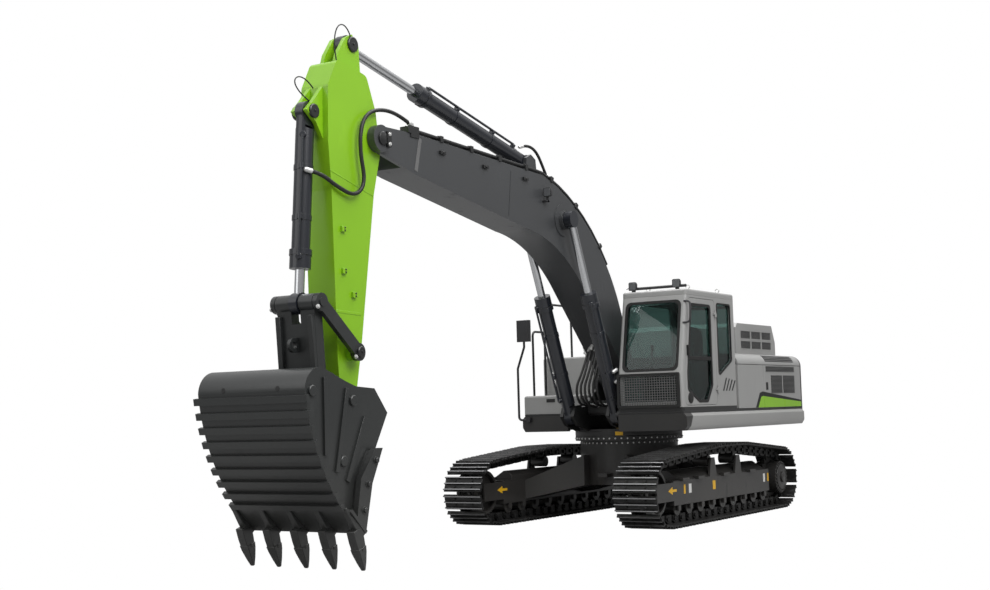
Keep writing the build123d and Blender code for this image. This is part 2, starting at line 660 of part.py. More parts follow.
bay_inner = HOOD_HALF - HOOD_WALL
bend_y = HOUSE_HALF - SHOULDER
bend_z = BODY_TOP - SHOULDER
inner_bend = SHOULDER - DECK_PLATE
with BuildPart() as bay_decks:
    for side, front in ((1, BAY_FRONT), (-1, TANK_REAR)):
        with BuildSketch(Plane.YZ.offset(BAY_REAR)) as shoulder:
            with BuildLine():
                Polyline(
                    (side * bend_y, BODY_TOP - DECK_PLATE),
                    (side * bay_inner, BODY_TOP - DECK_PLATE),
                    (side * bay_inner, BODY_TOP),
                    (side * bend_y, BODY_TOP),
                )
                ThreePointArc(
                    (side * bend_y, BODY_TOP),
                    (side * (bend_y + SHOULDER * math.sqrt(0.5)), bend_z + SHOULDER * math.sqrt(0.5)),
                    (side * HOUSE_HALF, bend_z),
                )
                Line((side * HOUSE_HALF, bend_z), (side * (HOUSE_HALF - DECK_PLATE), bend_z))
                ThreePointArc(
                    (side * (HOUSE_HALF - DECK_PLATE), bend_z),
                    (side * (bend_y + inner_bend * math.sqrt(0.5)), bend_z + inner_bend * math.sqrt(0.5)),
                    (side * bend_y, BODY_TOP - DECK_PLATE),
                )
            make_face()
        extrude(shoulder.sketch, amount=front - BAY_REAR, dir=(1, 0, 0))
save(bay_decks, "bay_decks")

with BuildPart() as bay_bulkhead:
    slab(
        [
            (HOOD_FRONT, -bay_inner),
            (TANK_REAR, -bay_inner),
            (TANK_REAR, TANK_INNER),
            (BAY_FRONT, TANK_INNER),
            (BAY_FRONT, bay_inner),
            (HOOD_FRONT, bay_inner),
        ],
        BODY_TOP - DECK_PLATE,
        BODY_TOP,
    )
    block((BAY_FRONT - DECK_PLATE, TANK_INNER, DECK_TOP), (BAY_FRONT, bay_inner, BODY_TOP))
    block((BAY_REAR, -bay_inner, BODY_TOP - DECK_PLATE), (HOOD_REAR, bay_inner, BODY_TOP))
save(bay_bulkhead, "bay_bulkhead")

# Service doors of the engine bay, hinged at their rear edges
door_low = DECK_TOP + DOOR_GAP
door_high = BODY_TOP - SHOULDER - DOOR_GAP
for name, x_low, x_high, side in (
    ("left_front_door", DOOR_SPLIT + DOOR_GAP / 2, BAY_FRONT, 1),
    ("left_rear_door", BAY_REAR + DOOR_GAP, DOOR_SPLIT - DOOR_GAP / 2, 1),
    ("right_door", BAY_REAR + DOOR_GAP, TANK_REAR - DOOR_GAP, -1),
):
    with BuildPart() as door:
        y_low, y_high = sorted((side * HOUSE_HALF, side * (HOUSE_HALF - DOOR_PANEL)))
        block((x_low, y_low, door_low), (x_high, y_high, door_high))
        y_low, y_high = sorted((side * (HOUSE_HALF - DOOR_PANEL), side * (HOUSE_HALF - DOOR_SKIN)))
        block(
            (x_low + DOOR_PANEL, y_low, door_low + DOOR_PANEL),
            (x_high - DOOR_PANEL, y_high, door_high - DOOR_PANEL),
            Mode.SUBTRACT,
        )
        if name == "left_rear_door":
            for share in LOUVRE_SHARES:
                middle = x_low + share * (x_high - x_low)
                for index in range(LOUVRE_SLOTS):
                    z = door_low + LOUVRE_RISE + index * LOUVRE_PITCH
                    block(
                        (middle - LOUVRE_WIDTH / 2, HOUSE_HALF - DOOR_SKIN, z),
                        (middle + LOUVRE_WIDTH / 2, HOUSE_HALF, z + LOUVRE_HEIGHT),
                        Mode.SUBTRACT,
                    )
    save(door, name)

# Engine hood: a raised cover, open below
hood_seat = BODY_TOP + FIT
HOOD_SLOPE = 130.0
hood_line = [
    (HOOD_REAR, hood_seat),
    (HOOD_FRONT, hood_seat),
    (HOOD_FRONT, HOOD_TOP - HOOD_SLOPE / 2),
    (HOOD_FRONT - HOOD_SLOPE / 2, HOOD_TOP),
    (HOOD_REAR + HOOD_SLOPE, HOOD_TOP),
    (HOOD_REAR, HOOD_TOP - 2 * HOOD_SLOPE),
]
with BuildPart() as engine_hood:
    plate(hood_line, -HOOD_HALF, HOOD_HALF)
    with BuildSketch(Plane.XZ):
        with BuildLine():
            Polyline(*hood_line, close=True)
        make_face()
        offset(amount=-HOOD_WALL, mode=Mode.REPLACE)
    extrude(amount=HOOD_HALF - HOOD_WALL, both=True, mode=Mode.SUBTRACT)
    block(
        (HOOD_REAR + HOOD_WALL, -HOOD_HALF + HOOD_WALL, hood_seat),
        (HOOD_FRONT - HOOD_WALL, HOOD_HALF - HOOD_WALL, hood_seat + 2 * HOOD_WALL),
        Mode.SUBTRACT,
    )
    for side in SIDES:
        y_low, y_high = sorted((side * HOOD_HALF, side * (HOOD_HALF - GRILLE_DEPTH)))
        for column in range(GRILLE_COLUMNS):
            x = HOOD_FRONT - GRILLE_SETBACK - column * (GRILLE_WIDTH + GRILLE_BAR)
            for row in range(GRILLE_ROWS):
                z = hood_seat + GRILLE_RISE + row * (GRILLE_HEIGHT + GRILLE_BAR)
                block((x - GRILLE_WIDTH, y_low, z), (x, y_high, z + GRILLE_HEIGHT), Mode.SUBTRACT)
save(engine_hood, "engine_hood")

# Right side: tank, and the step box ahead of it
with BuildPart() as fuel_tank:
    block((TANK_REAR, -HOUSE_HALF, DECK_TOP), (TANK_FRONT, TANK_INNER, TANK_TOP))
    fillet(fuel_tank.faces().sort_by(Axis.Z)[-1].edges(), BOX_ROUND)
    block(
        (TANK_REAR + TANK_WALL, -HOUSE_HALF + TANK_WALL, DECK_TOP),
        (TANK_FRONT - TANK_WALL, TANK_INNER - TANK_WALL, TANK_TOP - TANK_WALL),
        Mode.SUBTRACT,
    )
save(fuel_tank, "fuel_tank")

with BuildPart() as step_box:
    block((TANK_FRONT, -HOUSE_HALF, DECK_TOP), (RIGHT_FRONT, TANK_INNER, STEP_TOP))
    fillet(step_box.faces().sort_by(Axis.Z)[-1].edges(), BOX_ROUND)
    block(
        (TANK_FRONT + TANK_WALL, -HOUSE_HALF + TANK_WALL, DECK_TOP),
        (RIGHT_FRONT - TANK_WALL, TANK_INNER - TANK_WALL, STEP_TOP - TANK_WALL),
        Mode.SUBTRACT,
    )
save(step_box, "step_box")

# Air cleaner's cap on the tank
with BuildPart() as air_cleaner:
    cap_low = TANK_TOP + CLEANER_NECK
    post(*CLEANER_SPOT, CLEANER_NECK, TANK_TOP, cap_low)
    post(*CLEANER_SPOT, CLEANER_RADIUS, cap_low, cap_low + CLEANER_HEIGHT)
    post(*CLEANER_SPOT, CLEANER_NECK, cap_low + CLEANER_HEIGHT, cap_low + 1.5 * CLEANER_HEIGHT)
save(air_cleaner, "air_cleaner")

# Hydraulic valve block behind the boom's foot
VALVE_HEIGHT = 330.0
VALVE_LENGTH = 420.0
VALVE_HALF = 170.0
with BuildPart() as valve_block:
    block(
        (BAY_FRONT + SIDE_GAP, -VALVE_HALF, DECK_TOP),
        (BAY_FRONT + SIDE_GAP + VALVE_LENGTH, VALVE_HALF, DECK_TOP + VALVE_HEIGHT),
    )
save(valve_block, "valve_block")

# Cab shell: floor, walls with their windows cut, roof
floor_top = DECK_TOP + CAB_FLOOR
lean = (HOUSE_FRONT - CAB_BROW) / (CAB_EAVES - CAB_KNEE)


def cab_front(z):
    """Front face of the cab at a height."""
    return HOUSE_FRONT - lean * max(0.0, z - CAB_KNEE)


with BuildPart() as cab_floor:
    block((CAB_REAR, CAB_INNER, DECK_TOP), (HOUSE_FRONT, HOUSE_HALF, floor_top))
    fillet(cab_floor.edges().filter_by(Axis.Z), CAB_ROUND)
save(cab_floor, "cab_floor")

FRAME_BAR = 80.0        # width of the cab's posts and rails
window_top = CAB_EAVES - FRAME_BAR
quarter_window = [
    (DOOR_REAR - FRAME_BAR, WAIST - FRAME_BAR),
    (DOOR_REAR - FRAME_BAR, window_top),
    (CAB_REAR + 2 * FRAME_BAR, window_top),
    (CAB_REAR + 2 * FRAME_BAR, WAIST + 1.7 * FRAME_BAR),
]
right_window = [
    (CAB_REAR + 2 * FRAME_BAR, WAIST),
    (cab_front(WAIST) - 2 * FRAME_BAR, WAIST),
    (cab_front(window_top) - 2 * FRAME_BAR, window_top),
    (CAB_REAR + 2 * FRAME_BAR, window_top),
]
door_line = [
    (DOOR_REAR, DOOR_SILL),
    (DOOR_FRONT, DOOR_SILL),
    (DOOR_FRONT, CAB_KNEE),
    (DOOR_HEAD, DOOR_LINTEL),
    (DOOR_REAR, DOOR_LINTEL),
]
door_opening = [
    (DOOR_REAR - DOOR_GAP, DOOR_SILL - DOOR_GAP),
    (DOOR_FRONT + DOOR_GAP, DOOR_SILL - DOOR_GAP),
    (DOOR_FRONT + DOOR_GAP, CAB_KNEE),
    (DOOR_HEAD + DOOR_GAP, DOOR_LINTEL + DOOR_GAP),
    (DOOR_REAR - DOOR_GAP, DOOR_LINTEL + DOOR_GAP),
]
screen_slope = Vector(-lean, 0, 1).normalized()
screen_length = (window_top - WAIST) / screen_slope.Z
screen_middle = Vector(cab_front((WAIST + window_top) / 2), (CAB_INNER + HOUSE_HALF) / 2, (WAIST + window_top) / 2)
screen_plane = Plane(screen_middle, x_dir=(0, 1, 0), z_dir=(screen_slope.Z, 0, -screen_slope.X))
screen_y = (CAB_INNER + FRAME_BAR, HOUSE_HALF - FRAME_BAR)
kick_low = floor_top + FRAME_BAR
kick_high = CAB_KNEE - FRAME_BAR / 2
with BuildPart() as cab_frame:
    plate(
        [
            (CAB_REAR, floor_top),
            (HOUSE_FRONT, floor_top),
            (HOUSE_FRONT, CAB_KNEE),
            (CAB_BROW, CAB_EAVES),
            (CAB_REAR, CAB_EAVES),
        ],
        CAB_INNER,
        HOUSE_HALF,
    )
    uprights = cab_frame.edges().filter_by(Axis.Y, reverse=True).filter_by(Axis.X, reverse=True)
    fillet(uprights, CAB_ROUND)
    plate(
        [
            (CAB_REAR + CAB_WALL, floor_top),
            (HOUSE_FRONT - CAB_WALL, floor_top),
            (HOUSE_FRONT - CAB_WALL, CAB_KNEE),
            (CAB_BROW - CAB_WALL, CAB_EAVES),
            (CAB_REAR + CAB_WALL, CAB_EAVES),
        ],
        CAB_INNER + CAB_WALL,
        HOUSE_HALF - CAB_WALL,
        Mode.SUBTRACT,
    )
    plate(door_opening, HOUSE_HALF - CAB_WALL, HOUSE_HALF, Mode.SUBTRACT, DOOR_ROUND + DOOR_GAP)
    plate(quarter_window, HOUSE_HALF - CAB_WALL, HOUSE_HALF, Mode.SUBTRACT, WINDOW_ROUND)
    plate(right_window, CAB_INNER, CAB_INNER + CAB_WALL, Mode.SUBTRACT, WINDOW_ROUND)
    block((CAB_REAR, screen_y[0], WAIST), (CAB_REAR + CAB_WALL, screen_y[1], window_top), Mode.SUBTRACT)
    block(
        (HOUSE_FRONT - CAB_WALL, screen_y[0], kick_low),
        (HOUSE_FRONT, screen_y[1], kick_high),
        Mode.SUBTRACT,
    )
    with BuildSketch(screen_plane) as screen:
        RectangleRounded(screen_y[1] - screen_y[0], screen_length, WINDOW_ROUND)
    extrude(screen.sketch, amount=2 * CAB_WALL, both=True, mode=Mode.SUBTRACT)
    for z in HINGE_HEIGHTS:
        post(DOOR_REAR, HOUSE_HALF + HINGE_RADIUS, HINGE_PIN, z - HINGE_RADIUS, z + 4 * HINGE_RADIUS)
        post(DOOR_REAR, HOUSE_HALF + HINGE_RADIUS, HINGE_RADIUS, z - 2 * HINGE_RADIUS, z - FIT)
        block(
            (DOOR_REAR - 3 * HINGE_RADIUS, HOUSE_HALF, z - 2 * HINGE_RADIUS),
            (DOOR_REAR, HOUSE_HALF + HINGE_RADIUS, z - FIT),
        )
save(cab_frame, "cab_frame")

ROOF_ROUND = 30.0
with BuildPart() as cab_roof:
    slab(
        [(CAB_REAR, CAB_INNER), (CAB_BROW, CAB_INNER), (CAB_BROW, HOUSE_HALF), (CAB_REAR, HOUSE_HALF)],
        CAB_EAVES,
        CAB_ROOF,
    )
    fillet(cab_roof.edges().filter_by(Axis.Z), CAB_ROUND)
    fillet(cab_roof.faces().sort_by(Axis.Z)[-1].edges(), ROOF_ROUND)
    block(
        (CAB_REAR + CAB_WALL, CAB_INNER + CAB_WALL, CAB_EAVES),
        (CAB_BROW - CAB_WALL, HOUSE_HALF - CAB_WALL, CAB_ROOF - ROOF_ROUND),
        Mode.SUBTRACT,
    )
save(cab_roof, "cab_roof")

# Work lamps on a bar over the cab's front
LAMP_SIZE = 120.0
LAMP_BAR = 18.0
LAMP_FOOT = 50.0
lamp_x = CAB_BROW - LAMP_SIZE
with BuildPart() as roof_lamps:
    disc((lamp_x, CAB_ROOF + LAMP_FOOT), LAMP_BAR, CAB_INNER + LAMP_FOOT, HOUSE_HALF - LAMP_FOOT)
    for y in (CAB_INNER + LAMP_SIZE, HOUSE_HALF - 1.5 * LAMP_SIZE):
        block(
            (lamp_x - LAMP_FOOT / 2, y - LAMP_FOOT / 2, CAB_ROOF),
            (lamp_x + LAMP_FOOT / 2, y + LAMP_FOOT / 2, CAB_ROOF + LAMP_FOOT),
        )
        block(
            (lamp_x - LAMP_SIZE / 3, y - LAMP_SIZE / 2, CAB_ROOF + LAMP_FOOT / 2),
            (lamp_x + LAMP_SIZE / 3, y + LAMP_SIZE / 2, CAB_ROOF + LAMP_FOOT / 2 + LAMP_SIZE),
        )
save(roof_lamps, "roof_lamps")


def pane(outline, y_low):
    """Pane of glass with round corners in a side wall."""
    with BuildSketch(Plane.XZ.offset(-y_low)) as face:
        with BuildLine():
            Polyline(*outline, close=True)
        make_face()
        offset(amount=-FIT, kind=Kind.INTERSECTION, mode=Mode.REPLACE)
        fillet(face.vertices(), WINDOW_ROUND)
    extrude(face.sketch, amount=PANE, dir=(0, 1, 0))


# Fixed panes, in the middle of the walls they glaze
pane_in = (CAB_WALL - PANE) / 2
with BuildPart() as cab_glass:
    pane(quarter_window, HOUSE_HALF - pane_in - PANE)
    pane(right_window, CAB_INNER + pane_in)
    block(
        (CAB_REAR + pane_in, screen_y[0] + FIT, WAIST + FIT),
        (CAB_REAR + pane_in + PANE, screen_y[1] - FIT, window_top - FIT),
    )
    block(
        (HOUSE_FRONT - pane_in - PANE, screen_y[0] + FIT, kick_low + FIT),
        (HOUSE_FRONT - pane_in, screen_y[1] - FIT, kick_high - FIT),
    )
    with BuildSketch(screen_plane.offset(-pane_in)) as screen:
        RectangleRounded(screen_y[1] - screen_y[0] - 2 * FIT, screen_length - 2 * FIT, WINDOW_ROUND)
    extrude(screen.sketch, amount=-PANE)
save(cab_glass, "cab_glass")

# Cab door with its window, and the door's pane
door_window = [
    (DOOR_REAR + 1.8 * FRAME_BAR, DOOR_SILL + 3.3 * FRAME_BAR),
    (DOOR_REAR + 4 * FRAME_BAR, DOOR_SILL + FRAME_BAR / 2),
    (DOOR_REAR + 7.5 * FRAME_BAR, DOOR_SILL + FRAME_BAR / 2),
    (DOOR_FRONT - FRAME_BAR, DOOR_SILL + 2.5 * FRAME_BAR),
    (DOOR_FRONT - FRAME_BAR, CAB_KNEE),
    (DOOR_HEAD - 0.7 * FRAME_BAR, DOOR_LINTEL - FRAME_BAR),
    (DOOR_REAR + 1.8 * FRAME_BAR, DOOR_LINTEL - FRAME_BAR),
]
with BuildPart() as cab_door:
    plate(door_line, HOUSE_HALF - CAB_WALL, HOUSE_HALF, corner=DOOR_ROUND)
    plate(door_window, HOUSE_HALF - CAB_WALL, HOUSE_HALF, Mode.SUBTRACT, WINDOW_ROUND)
    for z in HINGE_HEIGHTS:
        post(DOOR_REAR, HOUSE_HALF + HINGE_RADIUS, HINGE_RADIUS, z, z + 2 * HINGE_RADIUS)
        block(
            (DOOR_REAR, HOUSE_HALF, z),
            (DOOR_REAR + 3 * HINGE_RADIUS, HOUSE_HALF + HINGE_RADIUS, z + 2 * HINGE_RADIUS),
        )
        post(DOOR_REAR, HOUSE_HALF + HINGE_RADIUS, HINGE_PIN + FIT, z, z + 2 * HINGE_RADIUS, Mode.SUBTRACT)
save(cab_door, "cab_door")
with BuildPart() as door_glass:
    pane(door_window, HOUSE_HALF - pane_in - PANE)
save(door_glass, "door_glass")

# Seat and the two control consoles beside it
SEAT_X = 120.0
SEAT_WIDTH = 480.0
SEAT_HEIGHT = 430.0
seat_y = (CAB_INNER + HOUSE_HALF) / 2
with BuildPart() as operator_seat:
    plate(
        [
            (SEAT_X, floor_top),
            (SEAT_X + SEAT_HEIGHT, floor_top),
            (SEAT_X + SEAT_HEIGHT, floor_top + SEAT_HEIGHT),
            (SEAT_X + SEAT_HEIGHT / 4, floor_top + SEAT_HEIGHT),
            (SEAT_X - SEAT_HEIGHT / 8, floor_top + 2.6 * SEAT_HEIGHT),
            (SEAT_X - SEAT_HEIGHT / 3, floor_top + 2.6 * SEAT_HEIGHT),
        ],
        seat_y - SEAT_WIDTH / 2,
        seat_y + SEAT_WIDTH / 2,
    )
save(operator_seat, "operator_seat")

CONSOLE_ROOM = 55.0     # console to the cab's wall
console_width = (CAB_WIDTH - 2 * CAB_WALL - SEAT_WIDTH) / 2 - SIDE_GAP - CONSOLE_ROOM
with BuildPart() as control_consoles:
    for way in SIDES:
        inner = seat_y + way * (SEAT_WIDTH / 2 + SIDE_GAP)
        y_low, y_high = sorted((inner, inner + way * console_width))
        block(
            (SEAT_X, y_low, floor_top),
            (SEAT_X + 1.4 * SEAT_HEIGHT, y_high, floor_top + 1.4 * SEAT_HEIGHT),
        )
save(control_consoles, "control_consoles")

# Guard over the lower front of the cab
GUARD_DEPTH = 40.0
GUARD_BAR = 25.0
GUARD_BARS = 7
with BuildPart() as front_guard:
    guard_low = (HOUSE_FRONT, CAB_INNER, floor_top)
    guard_high = (HOUSE_FRONT + GUARD_DEPTH, HOUSE_HALF - FRAME_BAR / 2, CAB_KNEE)
    block(guard_low, guard_high)
    slot = (guard_high[2] - guard_low[2] - GUARD_BAR) / GUARD_BARS
    for index in range(GUARD_BARS):
        z = guard_low[2] + GUARD_BAR + index * slot
        block(
            (guard_low[0], guard_low[1] + GUARD_BAR, z),
            (guard_high[0], guard_high[1] - GUARD_BAR, z + slot - GUARD_BAR),
            Mode.SUBTRACT,
        )
save(front_guard, "front_guard")

# Handrails over the tank and the step box, and the mirror's pole
RAIL_RADIUS = 17.0
RAIL_BEND = 70.0
TANK_RAIL = 820.0
STEP_RAIL = 960.0
rail_y = -HOUSE_HALF + FRAME_BAR
with BuildPart() as handrails:
    pipe(
        [
            (TANK_REAR + FRAME_BAR, rail_y, TANK_TOP),
            (TANK_REAR + FRAME_BAR, rail_y, TANK_TOP + TANK_RAIL),
            (TANK_FRONT - FRAME_BAR, rail_y, TANK_TOP + TANK_RAIL),
            (TANK_FRONT - FRAME_BAR, rail_y, TANK_TOP),
        ],
        RAIL_BEND,
        RAIL_RADIUS,
    )
    pipe(
        [
            (TANK_FRONT + FRAME_BAR, rail_y, STEP_TOP),
            (TANK_FRONT + FRAME_BAR, rail_y, STEP_TOP + STEP_RAIL),
            (RIGHT_FRONT - 2 * FRAME_BAR, rail_y, STEP_TOP + STEP_RAIL),
            (RIGHT_FRONT - 2 * FRAME_BAR, rail_y, STEP_TOP),
        ],
        RAIL_BEND,
        RAIL_RADIUS,
    )
save(handrails, "handrails")

MIRROR_HEIGHT = 320.0
MIRROR_WIDTH = 210.0
MIRROR_DEPTH = 60.0
MIRROR_Z = 2565.0
MIRROR_ELBOW = 2170.0
MIRROR_BEND = 50.0
MIRROR_FOOT = 70.0
mirror_x = RIGHT_FRONT + MIRROR_DEPTH / 2
mirror_y = rail_y - FRAME_BAR / 2
foot_z = DECK_TOP - FRAME_BAR
with BuildPart() as mirror:
    pipe(
        [
            (mirror_x, rail_y, foot_z),
            (mirror_x, -HOUSE_HALF - FRAME_BAR, foot_z),
            (mirror_x, -HOUSE_HALF - FRAME_BAR, MIRROR_ELBOW),
            (mirror_x, mirror_y, MIRROR_Z - FRAME_BAR),
            (mirror_x, mirror_y, MIRROR_Z + MIRROR_HEIGHT / 2),
        ],
        MIRROR_BEND,
        RAIL_RADIUS,
    )
    block(
        (RIGHT_FRONT, rail_y - MIRROR_FOOT / 2, foot_z - MIRROR_FOOT / 2),
        (mirror_x + RAIL_RADIUS, rail_y + MIRROR_FOOT / 2, foot_z + MIRROR_FOOT / 2),
    )
    block(
        (mirror_x - MIRROR_DEPTH / 2, mirror_y - MIRROR_WIDTH / 2, MIRROR_Z),
        (mirror_x + MIRROR_DEPTH / 2, mirror_y + MIRROR_WIDTH / 2, MIRROR_Z + MIRROR_HEIGHT),
    )
save(mirror, "mirror")

# Boom: a box of plates, bent upward, with a fork for the arm and lugs for the arm's ram
boom_top = [near(BOOM_FOOT, 360, 1055), near(BOOM_FOOT, 1190, 2035), near(BOOM_FOOT, 2390, 2595)]
boom_under = [near(BOOM_FOOT, 2810, 1856), near(BOOM_FOOT, 1950, 1608), near(BOOM_FOOT, 1350, 1160)]
boom_ridge = near(BOOM_TIP, -700, 160)
boom_chin = near(BOOM_TIP, -650, -300)
foot_rear = (BOOM_FOOT[0] - PIVOT_BOSS, BOOM_FOOT[1])
foot_front = (BOOM_FOOT[0] + PIVOT_BOSS, BOOM_FOOT[1])
tip_front = (BOOM_TIP[0] + PIVOT_BOSS, BOOM_TIP[1])
LUG_BASE = 150.0
with BuildPart() as boom:
    with BuildSketch(Plane.XZ) as boom_face:
        with BuildLine():
            ThreePointArc(foot_rear, (BOOM_FOOT[0], BOOM_FOOT[1] - PIVOT_BOSS), foot_front)
            Line(foot_front, boom_under[2])
            ThreePointArc(*reversed(boom_under))
            Line(boom_under[0], boom_chin)
            Line(boom_chin, (BOOM_TIP[0], BOOM_TIP[1] - PIVOT_BOSS))
            ThreePointArc(near(BOOM_TIP, 0, -PIVOT_BOSS), tip_front, near(BOOM_TIP, 0, PIVOT_BOSS))
            Line(near(BOOM_TIP, 0, PIVOT_BOSS), boom_ridge)
            Line(boom_ridge, boom_top[2])
            ThreePointArc(*reversed(boom_top))
            Line(boom_top[0], foot_rear)
        make_face()
    extrude(amount=BOOM_HALF, both=True)
    with BuildSketch(Plane.XZ):
        add(boom_face.sketch_local)
        offset(amount=-BOOM_EDGE, mode=Mode.REPLACE)
        with Locations(BOOM_FOOT):
            Circle(PIVOT_BOSS, mode=Mode.SUBTRACT)
        with Locations((BOOM_TIP[0], BOOM_TIP[1])):
            Rectangle(2 * (BOOM_FORK + BOOM_EDGE), 4 * PIVOT_BOSS, mode=Mode.SUBTRACT)
    extrude(amount=BOOM_HALF - BOOM_SIDE, both=True, mode=Mode.SUBTRACT)
    block(
        (BOOM_TIP[0] - BOOM_FORK, -ARM_HALF - SIDE_GAP, BOOM_TIP[1] - 4 * PIVOT_BOSS),
        (BOOM_TIP[0] + 2 * PIVOT_BOSS, ARM_HALF + SIDE_GAP, BOOM_TIP[1] + 4 * PIVOT_BOSS),
        Mode.SUBTRACT,
    )
    disc(BOOM_FOOT, PIVOT_RADIUS + FIT, -BOOM_HALF, BOOM_HALF, Mode.SUBTRACT)
    bosses(BOOM_TIP, PIVOT_BOSS, ARM_HALF + SIDE_GAP, BOOM_HALF + GIRDER)
    disc(BOOM_TIP, PIVOT_RADIUS, -BOOM_HALF - GIRDER, BOOM_HALF + GIRDER)
    bosses(BOOM_RAM_EYE, SMALL_BOSS, BOOM_HALF - BOOM_SIDE, RAM_OFFSET - EYE_HALF - SIDE_GAP)
    cheeks(
        [
            (ARM_RAM_FOOT[0] - LUG_BASE, boom_top[2][1] - BOOM_EDGE - LUG_BASE / 2),
            (ARM_RAM_FOOT[0] + LUG_BASE, boom_top[2][1] - BOOM_EDGE),
            (ARM_RAM_FOOT[0] + EYE_RADIUS, ARM_RAM_FOOT[1] + EYE_RADIUS / 2),
            (ARM_RAM_FOOT[0], ARM_RAM_FOOT[1] + EYE_RADIUS),
            (ARM_RAM_FOOT[0] - EYE_RADIUS, ARM_RAM_FOOT[1] + EYE_RADIUS / 2),
        ],
        LUG_INNER,
        LUG_OUTER,
    )
    disc(ARM_RAM_FOOT, SMALL_PIN, -LUG_OUTER, LUG_OUTER)
save(boom, "boom")

# Arm: a tapered box with lugs for its ram, for the bucket's ram, and bosses at its lower end
arm_line = [
    near(BOOM_TIP, 130, 680),
    near(BOOM_TIP, -25, 310),
    near(BOOM_TIP, -90, -150),
    near(BOOM_TIP, 38, -612),
    near(BUCKET_PIN, -240, 550),
    near(BUCKET_PIN, -SMALL_BOSS, 0),
    near(BUCKET_PIN, 0, -SMALL_BOSS),
    near(BUCKET_PIN, SMALL_BOSS, 0),
    near(BUCKET_PIN, 165, 420),
    near(BOOM_TIP, 765, -640),
    near(BOOM_TIP, 805, -140),
    near(BOOM_TIP, 795, 470),
    near(BOOM_TIP, 630, 780),
]
ARM_ROUND = 90.0
ARM_BOX_LOW = 180.0      # end of the hollow above the bucket pin
with BuildPart() as arm:
    with BuildSketch(Plane.XZ) as arm_face:
        with BuildLine():
            Polyline(*arm_line, close=True)
        make_face()
        fillet(arm_face.vertices(), ARM_ROUND)
    extrude(amount=ARM_HALF, both=True)
    with BuildSketch(Plane.XZ):
        add(arm_face.sketch_local)
        offset(amount=-ARM_EDGE, mode=Mode.REPLACE)
        with Locations(BOOM_TIP):
            Circle(PIVOT_BOSS, mode=Mode.SUBTRACT)
        with Locations(IDLER_FOOT):
            Circle(SMALL_BOSS, mode=Mode.SUBTRACT)
        with Locations(near(BUCKET_PIN, 0, ARM_BOX_LOW - BUCKET_HALF)):
            Rectangle(2 * BUCKET_HALF, 2 * BUCKET_HALF, mode=Mode.SUBTRACT)
    extrude(amount=ARM_HALF - ARM_SIDE, both=True, mode=Mode.SUBTRACT)
    disc(BOOM_TIP, PIVOT_RADIUS + FIT, -ARM_HALF, ARM_HALF, Mode.SUBTRACT)
    cheeks(
        [
            near(ARM_RAM_EYE, -140, -410),
            near(ARM_RAM_EYE, 340, -410),
            near(ARM_RAM_EYE, 250, -140),
            (ARM_RAM_EYE[0] + EYE_RADIUS, ARM_RAM_EYE[1] + EYE_RADIUS / 2),
            (ARM_RAM_EYE[0], ARM_RAM_EYE[1] + EYE_RADIUS),
            (ARM_RAM_EYE[0] - EYE_RADIUS, ARM_RAM_EYE[1]),
        ],
        LUG_INNER,
        LUG_OUTER,
    )
    cheeks(
        [
            near(BUCKET_RAM_FOOT, -220, -380),
            near(BUCKET_RAM_FOOT, -EYE_RADIUS / 3, -EYE_RADIUS),
            near(BUCKET_RAM_FOOT, EYE_RADIUS, 0),
            near(BUCKET_RAM_FOOT, 0, EYE_RADIUS),
            near(BUCKET_RAM_FOOT, -220, 360),
        ],
        LUG_INNER,
        LUG_OUTER,
    )
    disc(BUCKET_RAM_FOOT, SMALL_PIN, -LUG_OUTER, LUG_OUTER)
    disc(BUCKET_PIN, SMALL_BOSS, -TIP_HALF, TIP_HALF)
    disc(BUCKET_PIN, SMALL_PIN + FIT, -TIP_HALF, TIP_HALF, Mode.SUBTRACT)
    disc(IDLER_FOOT, LINK_BOSS, -TIP_HALF, TIP_HALF)
    disc(IDLER_FOOT, SMALL_PIN, -EAR_OUTER - SIDE_GAP, EAR_OUTER + SIDE_GAP)
save(arm, "arm")

# Bucket: two side plates, a wrapped back and ears for the arm and the link
bucket_crest = near(BUCKET_PIN, 1030, 300)
bucket_brow = near(BUCKET_PIN, 1200, 270)
bucket_heel = [near(BUCKET_PIN, 1310, 80), near(BUCKET_PIN, 1160, -480), near(BUCKET_PIN, 750, -1105)]
bucket_lip = near(BUCKET_PIN, 520, -1330)
bucket_nape = near(BUCKET_PIN, 150, -80)
bucket_saddle = [near(BUCKET_PIN, 570, -30), near(BUCKET_PIN, 780, 140)]
side_edge = [near(BUCKET_PIN, 400, -844), near(BUCKET_PIN, 220, -500), near(BUCKET_PIN, 10, -150)]
side_top = [near(BUCKET_PIN, 220, 100), near(BUCKET_PIN, 520, 120), near(BUCKET_PIN, 680, 170)]
bucket_width = BUCKET_HALF + BUCKET_SIDE + CUTTER
heel_arc = Edge.make_three_point_arc(*(Vector(x, 0, z) for x, z in bucket_heel))
